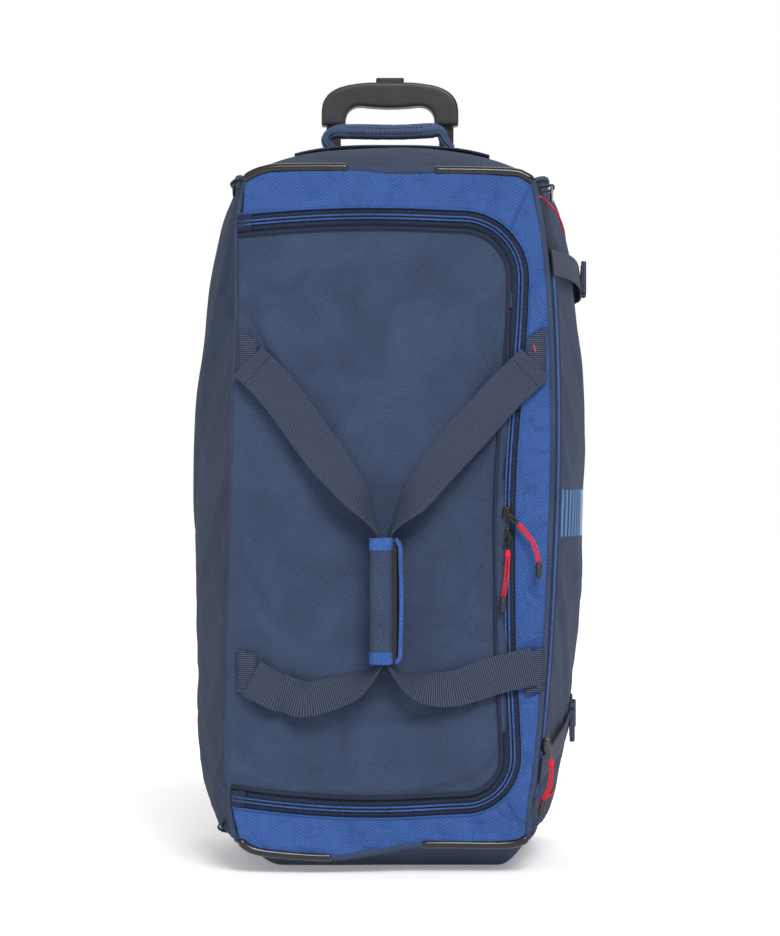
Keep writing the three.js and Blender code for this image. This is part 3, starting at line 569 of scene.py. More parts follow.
def stitches(name, points, material, body="bag", length=0.0026, space=0.0014, radius=0.00042):
    """A row of sewn stitches lying along a path, as one mesh of small rounded beads."""
    points = np.array(points, float)
    reach = distances(points)
    vertices, faces = [], []
    ring = [(math.cos(a), math.sin(a)) for a in np.linspace(0, 2 * math.pi, 6, endpoint=False)]
    start = space
    while start + length < reach[-1]:
        a, b = point_at(points, reach, start), point_at(points, reach, start + length)
        along = b - a
        along /= np.linalg.norm(along)
        side = np.cross(along, (0.3, 0.9, 0.2))
        side /= np.linalg.norm(side)
        up = np.cross(along, side)
        base = len(vertices)
        for t, r in ((0.0, 0.35), (0.2, 1.0), (0.8, 1.0), (1.0, 0.35)):
            for c, s in ring:
                vertices.append(mix(a, b, t) + (side * c + up * s) * radius * r)
        for k in range(3):
            for j in range(6):
                p, q = base + k * 6 + j, base + k * 6 + (j + 1) % 6
                faces.append((p, q, q + 6, p + 6))
        faces.append(tuple(range(base + 5, base - 1, -1)))
        faces.append(tuple(range(base + 18, base + 24)))
        start += length + space
    return make_object(name, vertices, faces, material, None, body)


def ripple(point, scale, seed):
    return noise.noise(Vector(point) * scale + Vector((seed * 7.3, seed * 1.7, seed * 3.1)))


def relax(obj, grow, cap, frames=14, stiffness=12.0, calm=None):
    """Lets a panel settle as cloth that is a little too big for its pinned edges, which makes real wrinkles.

    The movement dies away at the seams, and where calm(point) is small.
    """
    mesh = obj.data
    solidify = obj.modifiers.get("thickness")
    if solidify:
        solidify.show_viewport = False
    builder = bmesh.new()
    builder.from_mesh(mesh)
    edge = [v.index for v in builder.verts if v.is_boundary]
    builder.free()
    pins = obj.vertex_groups.new(name="pins")
    pins.add(edge, 1.0, "REPLACE")
    rest = np.array([v.co[:] for v in mesh.vertices])
    cloth = obj.modifiers.new("cloth", "CLOTH")
    for setting, value in {
        "vertex_group_mass": "pins", "quality": 6, "mass": 0.25, "tension_stiffness": stiffness,
        "compression_stiffness": stiffness, "shear_stiffness": stiffness / 3, "bending_stiffness": 0.35,
        "air_damping": 3.0, "shrink_min": -grow,
    }.items():
        setattr(cloth.settings, setting, value)
    cloth.settings.effector_weights.gravity = 0.25
    cloth.point_cache.frame_start = 1
    cloth.point_cache.frame_end = frames
    for number in range(1, frames + 1):
        scene.frame_set(number)
    evaluated = obj.evaluated_get(bpy.context.evaluated_depsgraph_get())
    moved = np.array([v.co[:] for v in evaluated.data.vertices[: len(rest)]])
    obj.modifiers.remove(cloth)
    obj.vertex_groups.remove(pins)
    scene.frame_set(1)
    step = moved - rest
    size = np.linalg.norm(step, axis=1, keepdims=True)
    step *= np.tanh(size / cap) * cap / np.maximum(size, 1e-9)
    edges = KDTree(len(edge))
    for order, index in enumerate(edge):
        edges.insert(rest[index], order)
    edges.balance()
    reach = np.array([edges.find(point)[2] for point in rest])
    step *= smooth_step(0.001, 0.012, reach)[:, None]
    if calm:
        step *= np.array([calm(point - SHIFT) for point in rest])[:, None]
    mesh.vertices.foreach_set("co", (rest + step).ravel())
    mesh.update()
    if solidify:
        solidify.show_viewport = True


# ---------- camera, light and floor ----------
def add_camera():
    camera = add_object("camera", bpy.data.cameras.new("camera"))
    camera.data.sensor_width = 36
    camera.data.lens = 36 * EYE_DISTANCE / PICTURE_HEIGHT
    camera.data.clip_end = 50
    camera.location = (SHIFT[0], FRONT_Y - EYE_DISTANCE + SHIFT[1], EYE_HEIGHT)
    camera.rotation_euler = (math.pi / 2, 0, 0)
    scene.camera = camera


def add_light(name, place, aim, size, power):
    lamp = bpy.data.lights.new(name, "AREA")
    lamp.shape = "RECTANGLE"
    lamp.size, lamp.size_y = size
    lamp.energy = power
    obj = add_object(name, lamp)
    obj.location = place
    obj.rotation_euler = (Vector(aim) - Vector(place)).to_track_quat("-Z", "Y").to_euler()


def add_sun(name, towards, strength, spread):
    lamp = bpy.data.lights.new(name, "SUN")
    lamp.energy = strength
    lamp.angle = math.radians(spread)
    obj = add_object(name, lamp)
    obj.rotation_euler = Vector(towards).to_track_quat("Z", "Y").to_euler()


def add_studio():
    world = bpy.data.worlds.new("studio")
    scene.world = world
    world.use_nodes = True
    tree = world.node_tree
    lit, seen = tree.nodes["Background"], tree.nodes.new("ShaderNodeBackground")
    set_inputs(tree, lit, {"Color": (1, 1, 1, 1), "Strength": 0.44})
    set_inputs(tree, seen, {"Color": (1, 1, 1, 1)})
    camera_ray = tree.nodes.new("ShaderNodeLightPath").outputs["Is Camera Ray"]
    either = tree.nodes.new("ShaderNodeMixShader")
    set_inputs(tree, either, {"Fac": camera_ray, 1: lit.outputs["Background"], 2: seen.outputs["Background"]})
    set_inputs(tree, tree.nodes["World Output"], {"Surface": either.outputs["Shader"]})
    add_sun("key", (0.22, -0.95, 0.80), 2.3, 24)
    add_sun("fill", (-0.7, -0.8, 0.55), 0.3, 60)
    add_light("rim", (0.2, 1.6, 2.0), (0, 0, 0.5), (1.6, 1.2), 10)
    reach = 14
    corners = [(-reach, -reach, 0), (reach, -reach, 0), (reach, reach, 0), (-reach, reach, 0)]
    floor = add_mesh("floor", corners, [(0, 1, 2, 3)])
    floor.data.materials.append(Graph("studio_floor", False).surface({
        "Base Color": (0.96, 0.96, 0.965, 1), "Roughness": 0.9, "Specular IOR Level": 0.1,
        "Emission Color": (1, 1, 1, 1), "Emission Strength": 0.24,
    }))
    scene.view_settings.view_transform = "Standard"


add_camera()
add_studio()


# ---------- soft walls ----------
def wall_grid(side, across, deep, lift, t_range=(0, 1), s_range=(0, 1), shape=None):
    return [
        [wall_point(side, t, s, lift + (shape(t, s) if shape else 0.0)) for s in np.linspace(*s_range, deep)]
        for t in np.linspace(*t_range, across)
    ]


def pucker(t, s, count, seed, depth=0.0011):
    """Gathers where the panel is sewn into its front and back seams, dying away from them."""
    near = math.exp(-s / 0.05) + math.exp(-(1 - s) / 0.05)
    waves = math.sin(t * count + 3.1 * ripple((t * 9, s * 2, 0), 1.0, seed))
    return depth * near * waves * min(1.0, s / 0.012, (1 - s) / 0.012)


def corner_pleats(t, s, seed, depth=0.0022):
    """Pleats that fan down and up from the front corners."""
    total = 0.0
    height_over_depth = 1.9
    for corner, toward in ((1.0, -1), (0.0, 1)):
        away = math.hypot((t - corner) * height_over_depth, s)
        angle = math.atan2(s, abs(t - corner) * height_over_depth)
        fan = math.sin(angle * 15 + 2 * ripple((t * 4, s * 4, 0), 1.0, seed + toward))
        total += depth * fan * math.exp(-away / 0.28) * min(1.0, away / 0.06)
    return total * min(1.0, s / 0.02)


def off_patch(t, s):
    """Small over the printed patch, which keeps the cloth under it flat."""
    middle_t, half_t, middle_s, half_s = 0.487, 0.075, 0.28, 0.34
    near = math.exp(-(((t - middle_t) / half_t) ** 4) - ((s - middle_s) / half_s) ** 4)
    return 1 - 0.95 * near


def patch_calm(point):
    t = (point[2] - RIGHT_LOW) / (RIGHT_HIGH - RIGHT_LOW)
    return off_patch(t, (point[1] - FRONT_Y) / (BACK_Y - FRONT_Y))


def sag(t, s, seed, depth):
    return depth * ripple((t * 3.1, s * 2.3, 0.3), 1.0, seed) * math.sin(math.pi * s) * math.sin(math.pi * t)


def wall_sheet(name, side, grid, look, replaced, settle=None, calm=None, thickness=PANEL_THICKNESS):
    """One sewn panel. settle is how much too big its cloth is, and how far it may move."""
    panel = sheet_object(name, grid, look, side, thickness)
    if settle:
        relax(panel, *settle, calm=calm)
    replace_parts(panel, replaced)
    return panel


def build_walls():
    """The sewn shell. Returns the side pocket, which later trim lies on."""
    grid = wall_grid(
        "left", 130, 64, 0,
        shape=lambda t, s: pucker(t, s, 150, 1) + sag(t, s, 2, 0.008) + corner_pleats(t, s, 8),
    )
    # The left wall takes the darkened navy, which is painted shade
    wall_sheet("left_wall", "left", grid, navy_side_painted_shade, "left_side_panel", (0.03, 0.005))
    grid = wall_grid("right", 60, 36, -0.0072)
    wall_sheet("right_wall", "right", grid, navy, "right_side_panel", thickness=0.002)
    grid = wall_grid(
        "right", 130, 64, 0, (0.0, 1.0), (POCKET_START, 1.0),
        lambda t, s: (
            (pucker(t, s - POCKET_START, 150, 3) + sag(t, s, 4, 0.007)) * off_patch(t, s)
            + corner_pleats(t, s - POCKET_START, 9)
        ),
    )
    pocket = wall_sheet(
        "side_pocket_skin", "right", grid, navy_pocket, "side_pocket", (0.03, 0.0045), patch_calm
    )
    grid = wall_grid("top", 60, 60, 0, shape=lambda t, s: pucker(t, s, 70, 5, 0.0008) + sag(t, s, 6, 0.004))
    top = wall_sheet("top_end", "top", grid, navy_end, "top_end_panel", (0.018, 0.003))
    grid = wall_grid("bottom", 60, 60, 0, shape=resting_bulge)
    bottom = wall_sheet("bottom_end", "bottom", grid, navy_end, "bottom_end_panel")
    cut_around(top, "trolley_bezel", (SNUG, SNUG, 0.05))
    for side in ("left", "right"):
        cut_around(bottom, "wheel_housing_" + side, (SNUG, SNUG, 0.02))
    back_panel()
    corner_seams()
    inner_lining()
    return pocket


def box_object(name, low, high):
    corners = [(x, y, z) for x in (low[0], high[0]) for y in (low[1], high[1]) for z in (low[2], high[2])]
    faces = [(0, 1, 3, 2), (4, 6, 7, 5), (0, 4, 5, 1), (2, 3, 7, 6), (0, 2, 6, 4), (1, 5, 7, 3)]
    return add_mesh(name, corners, faces)


def apply_modifiers(obj):
    evaluated = obj.evaluated_get(bpy.context.evaluated_depsgraph_get())
    mesh = bpy.data.meshes.new_from_object(evaluated)
    obj.modifiers.clear()
    obj.data = mesh


def cut_around(obj, node, margin):
    """Opens a panel where a CAD node stands through it."""
    low, high = (Vector(corner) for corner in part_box(node))
    cutter = box_object("cutter", low - Vector(margin), high + Vector(margin))
    boolean = obj.modifiers.new("opening", "BOOLEAN")
    boolean.operation = "DIFFERENCE"
    boolean.solver = "EXACT"
    boolean.object = cutter
    apply_modifiers(obj)
    bpy.data.objects.remove(cutter)


def resting_bulge(t, s):
    """The bottom's front part rests on the floor."""
    x, _, z = wall_point("bottom", t, s)
    lengthwise = smooth_step(0.03, 0.20, s) * (1 - smooth_step(0.42, 0.7, s))
    resting = float(lengthwise * (1 - smooth_step(0.105, 0.135, abs(x))))
    return resting * max(0.0, z - 0.0012) + 0.0005 * ripple((t * 9, s * 9, 0), 1.0, 7) * (1 - resting)


def back_panel():
    xs = np.linspace(-0.147, 0.147, 34)
    points = [[(x, BACK_Y + 0.0006 * ripple((x, 0, z), 18, 9), z) for x in xs]
              for z in np.linspace(0.024, 0.653, 70)]
    panel = sheet_object("back_skin", points, navy, "back", PANEL_THICKNESS)
    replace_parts(panel, "back_panel")
    for side in ("left", "right"):
        cut_around(panel, "wheel_housing_" + side, (SNUG, 0.01, SNUG))


def inner_lining():
    """Dark lining over the trolley board and the wheel housings, seen when the lid is open."""
    profile = [(0.150, 0.650), (0.150, 0.40), (0.150, 0.086), (0.109, 0.084), (0.1085, 0.030)]
    points = [[(x, y, z) for x in np.linspace(-0.138, 0.138, 20)] for y, z in profile]
    sheet_object("back_lining", points, lining, "front", 0.0008)


def corner_seams():
    """Piping where side walls meet end walls, and round the back."""
    for side in ("left", "right"):
        for t, end in ((1.0, "top"), (0.0, "bottom")):
            points = [wall_point(side, t, s, 0.0006) for s in np.linspace(0.0, 1.0, 40)]
            tube_object(f"seam_{end}_{side}", points, 0.0021, webbing, 8)
    loop = []
    for side, reverse in (("left", False), ("top", False), ("right", True), ("bottom", True)):
        ts = np.linspace(0, 1, 40)[:-1]
        loop += [wall_point(side, 1 - t if reverse else t, 1.0) for t in ts]
    loop.append(loop[0])
    tube_object("seam_back", loop, 0.0024, webbing, 8)


# ---------- lid, zip and surround ----------
def build_lid():
    straight, arc, side = 56, 20, 150
    hinge_columns, flat_columns = 18, 9  # over which the free edge meets the hinge, and the folds die away
    path = lid_path(0.0, straight, arc, side)
    columns = straight + arc
    rows = []
    for i in range(columns + 1):
        upper, lower = path[i], path[-1 - i]
        row = []
        for j in range(side + 1):
            t = j / side
            if i == columns:
                x, z = path[columns + side - j]
            else:
                x, z = mix(lower, upper, t)
                hinge = -FRONT["left"](z) + SEAM_RADIUS * 0.4
                x += (hinge - LID_LEFT) * max(0.0, 1 - i / hinge_columns)
            inside = min(1.0, (columns - i) / flat_columns, j / flat_columns, (side - j) / flat_columns)
            row.append(on_front(x, z, 0.0003 + 2.0 * lid_relief(x, z) * inside))
        rows.append(row)
    lid = sheet_object("lid_skin", rows, navy, "front", PANEL_THICKNESS, body="lid")
    relax(lid, 0.02, 0.0035, frames=12)
    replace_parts(lid, "lid_panel")
    edge = np.array([on_front(x, z, 0.0012) for x, z in lid_path(-0.0012)])
    piping = tube_object("lid_piping", edge, 0.0021, tape, 10, body="lid", slot="navy_fabric")
    for piece in (lid, piping):
        bend_at_hinge(piece)


def bend_at_hinge(piece):
    """Takes the piece off its body and bakes its place into its mesh, so it no longer moves with the lid."""
    place = piece.matrix_world.copy()
    piece.parent = None
    piece.matrix_world = place
    del piece["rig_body"]
    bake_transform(piece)


def fold(x, z, start, end, width, height):
    """One soft ridge along a line between two points of the front, fading at both ends."""
    along = np.array(end) - np.array(start)
    length = np.linalg.norm(along)
    along /= length
    arm = np.array([x, z]) - np.array(start)
    at = float(arm.dot(along)) / length
    off = abs(float(arm[0] * along[1] - arm[1] * along[0]))
    if not 0 < at < 1:
        return 0.0
    return height * math.sin(math.pi * at) * math.exp(-((off / width) ** 2))


# Each fold of the lid: where it starts and ends, its width, and its height or depth.
LID_FOLDS = (
    ((-0.13, 0.56), (0.09, 0.60), 0.012, 0.0020),
    ((0.10, 0.585), (-0.02, 0.49), 0.010, 0.0022),
    ((-0.135, 0.60), (-0.09, 0.44), 0.009, 0.0020),
    ((-0.132, 0.42), (-0.115, 0.10), 0.008, -0.0022),
    ((-0.120, 0.33), (-0.060, 0.09), 0.010, 0.0016),
    ((-0.05, 0.17), (0.09, 0.105), 0.012, 0.0018),
    ((0.02, 0.15), (0.095, 0.28), 0.012, 0.0014),
)


def lid_relief(x, z):
    """Long soft folds that run from the corners and the handles, over a slightly uneven filling."""
    total = 0.0012 * ripple((x, z, 0), 9, 12) + 0.0006 * ripple((x, z, 0), 26, 13)
    for line in LID_FOLDS:
        total += fold(x, z, *line)
    return total


def tape_ribbon(name, inner, outer, body):
    rows = [[a, mix(a, b, 0.5), b] for a, b in zip(inner, outer)]
    return sheet_object(name, rows, tape, "front", TAPE_THICKNESS, body=body)


def front_line(offset, lift):
    return [on_front(x, z, lift) for x, z in lid_path(offset, 40, 18, 80)]


def zip_half(name, body, inner, outer, line, teeth, replaced):
    half = tape_ribbon(name, front_line(inner, -0.0006), front_line(outer, -0.0006), body)
    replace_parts(half, replaced)
    tube_object(name + "_line", front_line(line, 0.0009), 0.00085, blue_tape, 8, body)
    zip_teeth(name + "_teeth", front_line(teeth[0], 0.0008), front_line(teeth[1], 0.0008), body)
    sewn = (line + (inner if body == "lid" else outer)) / 2
    stitches(name + "_stitch", front_line(sewn, -0.0003), thread_navy, body)


def zip_teeth(name, starts, ends, body, pitch=0.0017):
    """The coil's turns: a small rounded bar across the chain every pitch."""
    starts, ends = np.array(starts), np.array(ends)
    reach = distances(starts)
    vertices, faces = [], []
    for d in np.arange(0.004, reach[-1], pitch):
        a, b = point_at(starts, reach, d), point_at(ends, reach, d)
        along = b - a
        along /= np.linalg.norm(along)
        side = np.cross(along, (0, 1, 0))
        base = len(vertices)
        for end in (a, b):
            for u, v in ((-1, 0.6), (-0.6, -1), (0.6, -1), (1, 0.6)):
                vertices.append(end + side * u * pitch * 0.36 + np.array([0, v * 0.0007, 0]))
        for j in range(4):
            faces.append((base + j, base + (j + 1) % 4, base + 4 + (j + 1) % 4, base + 4 + j))
        faces += [(base + 3, base + 2, base + 1, base), (base + 4, base + 5, base + 6, base + 7)]
    make_object(name, vertices, faces, pebbled, None, body)


def build_zip():
    lid_teeth, body_teeth = (COIL - 0.0010, COIL - 0.0001), (COIL + 0.0001, COIL + 0.0010)
    lid_edge, body_edge = COIL - 0.0002, COIL + 0.0002
    zip_half("zip_lid_half", "lid", 0.0006, lid_edge, COIL - 0.0017, lid_teeth, "zip_tape_lid")
    zip_half("zip_body_half", "bag", body_edge, COIL + 0.0086, COIL + 0.0017, body_teeth, "zip_tape_body")
    for part in ("", "_line", "_teeth", "_stitch"):
        bend_at_hinge(bpy.data.objects["zip_lid_half" + part])
    for name, offset in (("top", 1), ("bottom", -1)):
        x = LID_LEFT + 0.005 if offset > 0 else LID_LEFT_LOW + 0.005
        z = (lid_top(x) if offset > 0 else lid_bottom(x)) + offset * COIL
        end = [
            [on_front(px, pz, 0.0016) for pz in np.linspace(z - 0.0085, z + 0.0085, 4)]
            for px in np.linspace(x - 0.0065, x + 0.0075, 5)
        ]
        sheet_object("zip_stop_" + name, end, tape, "front", 0.001)


def crumple(x, z, seed):
    """Creased nylon: soft hills with a few sharp ridges, about 1 either side of zero."""
    hills = ripple((x * 1.3, z, 0.1), 17, seed)
    ridges = 1 - 3.2 * abs(ripple((x, z, 0.7), 24, seed + 1))
    return 0.6 * hills + 0.5 * max(ridges, -0.6) + 0.3 * ripple((x, z, 0.4), 62, seed + 2)


def surround_panel(name, side, path, outer_t, replaced):
    across, crumple_depth = 20, 0.0046
    rows = []
    for (x0, z0), t in zip(path, outer_t):
        x1, z1 = loop_point(FRONT, side, t)
        row = []
        for k in range(across + 1):
            w = k / across
            x, z = mix(x0, x1, w), mix(z0, z1, w)
            relief = crumple_depth * crumple(x, z, 21) * math.sin(math.pi * w) ** 1.1
            row.append(on_front(x, z, 0.0006 + relief))
        rows.append(row)
    panel = sheet_object(name, rows, blue, "front", 0.0022)
    relax(panel, 0.03, 0.0022)
    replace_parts(panel, replaced)


def build_surround():
    straight, arc, side = 84, 28, 170
    path = lid_path(COIL + 0.0082, straight, arc, side)
    path[:straight, 0] = np.maximum(path[:straight, 0], LID_LEFT + 0.004)
    top_corner = straight + arc // 2
    bottom_corner = straight + arc + side + arc // 2
    pieces = (
        ("top", path[: top_corner + 1], False, "surround_top"),
        ("right", path[top_corner : bottom_corner + 1], True, "surround_right"),
        ("bottom", path[bottom_corner:], True, "surround_bottom"),
    )
    for side_name, part, reverse, replaced in pieces:
        ts = np.linspace(0, 1, len(part))
        surround_panel("blue_" + side_name, side_name, part, 1 - ts if reverse else ts, replaced)
    hem = [on_front(x, z, 0.0009) for x, z in lid_path(COIL + 0.0088)]
    tube_object("surround_hem", hem, 0.0011, blue, 8)
    for index, side_name in ((top_corner, "top"), (bottom_corner, "bottom")):
        x0, z0 = path[index]
        x1, z1 = loop_point(FRONT, side_name, 1.0)
        seam = [on_front(mix(x0, x1, w), mix(z0, z1, w), 0.0008) for w in np.linspace(0, 1, 24)]
        tube_object("surround_seam_" + side_name, seam, 0.0009, blue, 6)


# ---------- piping and corner rails ----------
def front_seam(side, start, end, count, lift=0.0):
    points = []
    for t in np.linspace(start, end, count):
        x, z = loop_point(FRONT, side, t)
        points.append((x, FRONT_Y - 0.0002 - lift, z))
    return points


def capped(count, radius, ends=3):
    """Radii of a tube with rounded ends."""
    radii = np.full(count, radius)
    for k in range(ends):
        radii[k] = radii[-1 - k] = radius * math.sqrt(1 - (1 - (k + 0.4) / ends) ** 2)
    return radii


def build_front_edges():
    for name, side, start, end in (
        ("rail_top_left", "top", -0.005, 0.362),
        ("rail_top_right", "top", 0.652, 1.005),
        ("rail_bottom_left", "bottom", -0.005, 0.322),
        ("rail_bottom_right", "bottom", 0.628, 1.005),
    ):
        points = front_seam(side, start, end, 60)
        piece = tube_object(name + "_skin", points, capped(len(points), RAIL_RADIUS), rail, 14)
        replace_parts(piece, name)
    for name, side, start, end, radius in (
        ("piping_top", "top", 0.35, 0.664, SEAM_RADIUS),
        ("piping_bottom", "bottom", 0.31, 0.64, SEAM_RADIUS),
        ("piping_right", "right", 0.0, 1.0, 0.0030),
    ):
        points = front_seam(side, start, end, 90)
        piece = tube_object(name + "_skin", points, radius, navy, 10)
        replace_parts(piece, name)
    tube_object("piping_left", front_seam("left", 0.0, 1.0, 90, -0.0016), 0.0022, navy, 8)


# ---------- carry handles ----------
GRIP = {"bottom": 0.205, "top": 0.315, "x": -0.005, "width": 0.027, "depth": 0.032, "stand": 0.003}
PAD_WIDTH = 0.0205
PAD_X = GRIP["x"] - GRIP["width"] / 2 + PAD_WIDTH / 2
GRIP_Y = -front_y(GRIP["x"], 0.260) + GRIP["stand"] + GRIP["depth"] / 2


def strap_object(name, stations, body):
    """Webbing through stations of x, z, stand-off from the lid, turn and width, in millimetres and degrees.

    The stand-off is None where the strap runs inside the grip.
    """
    count, across_count = 150, 9
    rows = []
    for x, z, off, turn, width in stations:
        y = GRIP_Y if off is None else -front_y(x / 1000, z / 1000) + off / 1000
        rows.append((x / 1000, -y, z / 1000, math.radians(turn), width / 1000))
    path = smooth_path([row[:3] for row in rows], count)
    spots = np.linspace(0, 1, len(rows))
    extra = smooth_path([(s, row[3], row[4]) for s, row in zip(spots, rows)], count * 4)
    at = np.linspace(0, 1, count)
    station_reach = station_positions(path, [row[:3] for row in rows])
    where = np.interp(at, station_reach, spots)
    turns = np.interp(where, extra[:, 0], extra[:, 1])
    widths = np.interp(where, extra[:, 0], extra[:, 2])
    tangents = unit_tangents(path)
    reach = distances(path)
    vertices, uvs = [], []
    for k in range(count):
        flat = np.array([tangents[k][2], 0, -tangents[k][0]])
        flat /= np.linalg.norm(flat)
        across = flat * math.cos(turns[k]) + np.array([0, -math.sin(turns[k]), 0])
        normal = np.cross(across, tangents[k])
        normal /= np.linalg.norm(normal)
        cup = 0.0016 * math.sin(reach[k] * 60)
        for j in range(across_count):
            u = j / (across_count - 1) - 0.5
            vertices.append(path[k] + across * u * widths[k] + normal * cup * (4 * u * u - 0.5))
            uvs.append((u * WEBBING, reach[k]))
    obj = make_object(name, vertices, grid_faces(count, across_count), webbing, uvs, body)
    thicken(obj, STRAP_THICKNESS, 0, bevel=0.0005)
    for end, k in (("start", 4), ("finish", count - 5)):
        row = [vertices[k * across_count + j] - np.array([0, 0.0011, 0]) for j in range(across_count)]
        stitches(f"{name}_hem_{end}", row, thread_navy, body)
    return obj


def station_positions(path, stations):
    reach = distances(path)
    reach /= reach[-1]
    found = []
    low = 0
    for station in stations:
        gaps = np.linalg.norm(path[low:] - np.array(station), axis=1)
        low += int(gaps.argmin())
        found.append(reach[low])
    found[0], found[-1] = 0.0, 1.0
    return found


def tab_line(x, z, height, lift, count):
    return [on_front(x, z + a * height, lift) for a in np.linspace(-0.5, 0.5, count)]


def build_handles():
    left = [
        (-134, 485, 5, 0, 38), (-105, 455, 8, 0, 38), (-64, 399, 12, 8, 38),
        (-31, 356, 20, 40, 34), (-10.5, 322, None, 84, 20), (-9.5, 300, None, 90, 18),
        (-9.5, 260, None, 90, 18), (-9.5, 220, None, 90, 18), (-10.5, 198, None, 96, 20),
        (-36, 179, 17, 140, 32), (-75, 167, 12, 160, 34), (-98, 171, 10, 196, 36), (-110, 175, 8, 170, 36),
        (-131, 186, 6, 180, 36),
    ]
    right = [
        (137, 483, 5, 0, 38), (105, 452, 8, 0, 38), (84, 428, 10, 6, 38), (60, 402, 12, -14, 38),
        (22, 354, 20, -40, 34), (0.5, 322, None, -84, 20), (-0.5, 300, None, -90, 18),
        (-0.5, 260, None, -90, 18), (-0.5, 220, None, -90, 18), (0.5, 198, None, -96, 20),
        (26, 179, 17, -140, 32), (60, 177, 12, -172, 34), (100, 189, 8, -176, 36), (136, 197, 5, -180, 36),
    ]
    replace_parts(strap_object("strap_left", left, "left_handle"), "carry_strap_left")
    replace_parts(strap_object("strap_right", right, "right_handle"), "carry_strap_right")
    for name, body, x, z, slope in (
        ("upper_left", "left_handle", -0.1350, 0.489, -0.6),
        ("lower_left", "left_handle", -0.1350, 0.190, -0.3),
        ("upper_right", "bag", 0.1385, 0.491, 0.6),
        ("lower_right", "bag", 0.1370, 0.192, 0.2),
    ):
        points = [tab_line(x + b * TAB_WIDTH, z + slope * b * TAB_WIDTH, TAB_HEIGHT, 0.0036, 14)
                  for b in np.linspace(-0.5, 0.5, 8)]
        tab = sheet_object("tab_" + name, points, webbing, "front", STRAP_THICKNESS, body=body)
        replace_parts(tab, "anchor_tab_" + name)
        for b in (-0.38, 0.38):
            line = tab_line(x + b * TAB_WIDTH, z + slope * b * TAB_WIDTH, TAB_HEIGHT - 0.005, 0.0040, 12)
            stitches(f"tab_stitch_{name}_{'in' if b < 0 else 'out'}", line, thread_navy, body)
    mark = [on_front(0.1355 + 0.0004 * k, 0.5005 - 0.002 * k, 0.0080) for k in range(5)]
    stitches("red_bartack", mark, thread_red, length=0.007, space=0.0004, radius=0.0006)
    build_wrap()


def superellipse(width, depth, angle, power=0.55):
    c, s = math.cos(angle), math.sin(angle)
    return (math.copysign(abs(c) ** power, c) * width / 2, math.copysign(abs(s) ** power, s) * depth / 2)


def sleeve(name, bottom, top, grow, material, rows=30, puff=0.0):
    """A padded sleeve round the straps, closed but for a narrow slot on its right side."""
    sides, gap = 56, 0.16
    vertices, uvs = [], []
    for k in range(rows + 1):
        z = mix(bottom, top, k / rows)
        swell = grow + puff * math.sin(math.pi * k / rows) ** 0.5
        for j in range(sides + 1):
            angle = gap + (2 * math.pi - 2 * gap) * j / sides
            x, y = superellipse(PAD_WIDTH + 2 * swell, GRIP["depth"] + 2 * swell, angle)
            soft = 1 + 0.018 * ripple((x * 2, y * 2, z), 60, 31) + 0.012 * ripple((x, y, z), 190, 32)
            vertices.append((PAD_X + x * soft, -GRIP_Y + y * soft, z + 0.0006 * ripple((x, y, 0), 90, 33)))
            uvs.append((angle * GRIP["width"] / 2, z))
    obj = make_object(name, vertices, grid_faces(rows + 1, sides + 1), material, uvs, "left_handle")
    face_outward_radially(obj, (PAD_X + SHIFT[0], -GRIP_Y + SHIFT[1]))
    thickness, bevel = (0.003, 0.001) if puff else (0.0011, 0.0004)
    thicken(obj, thickness, -1, bevel)
    return obj


def face_outward_radially(obj, centre):
    total = 0.0
    for polygon in obj.data.polygons:
        arm = polygon.center.xy - Vector(centre)
        total += polygon.normal.xy.dot(arm)
    if total < 0:
        obj.data.flip_normals()


def build_wrap():
    """A padded sleeve, bound in blue at both ends, with a bound flap that leaves a dark gap on the right."""
    low, high = GRIP["bottom"] - 0.003, GRIP["top"] + 0.003
    pad = sleeve("wrap_pad", low, high, 0.0, navy, puff=0.0008)
    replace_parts(pad, "wrap_grip")
    for name, z0, z1 in (("lower", low - 0.001, low + 0.0105), ("upper", high - 0.0105, high + 0.001)):
        sleeve("wrap_band_" + name, z0, z1, 0.0011, blue_tape, rows=8)
    front = -GRIP_Y - GRIP["depth"] / 2
    right = GRIP["x"] + GRIP["width"] / 2
    bow = lambda z: 0.0016 * math.sin(math.pi * (z - low) / (high - low))
    heights = np.linspace(low + 0.0015, high - 0.0015, 60)
    section = smooth_path([(0.0008, 0.0035), (0.0016, 0.009), (0.0012, 0.018), (-0.002, 0.027),
                           (-0.010, 0.0325), (-0.019, 0.033)], 16)
    flap = [[(right + dx + bow(z), front + dy, z) for dx, dy in section] for z in heights]
    sheet_object("wrap_flap", flap, navy, "right", 0.0024, body="left_handle")
    first, last = ((right - 0.003, front + 0.006, z) for z in (low + 0.0004, high - 0.0004))
    edge = [(right + 0.0004 + bow(z), front + 0.0028, z) for z in heights[2:-2]]
    path = smooth_path([first, *edge[::6], last], 80)
    tube_object("wrap_binding", path, 0.0021, blue_tape, 12, "left_handle")
    # Painted shade: a black strip set back inside the gap between the pad and the flap
    gap_shade = [[(x, front + 0.0075, z) for x in np.linspace(right - 0.009, right + 0.0002, 4)] for z in heights]
    sheet_object("wrap_gap_shade_strip", gap_shade, slider_black, "front", 0.001, body="left_handle")


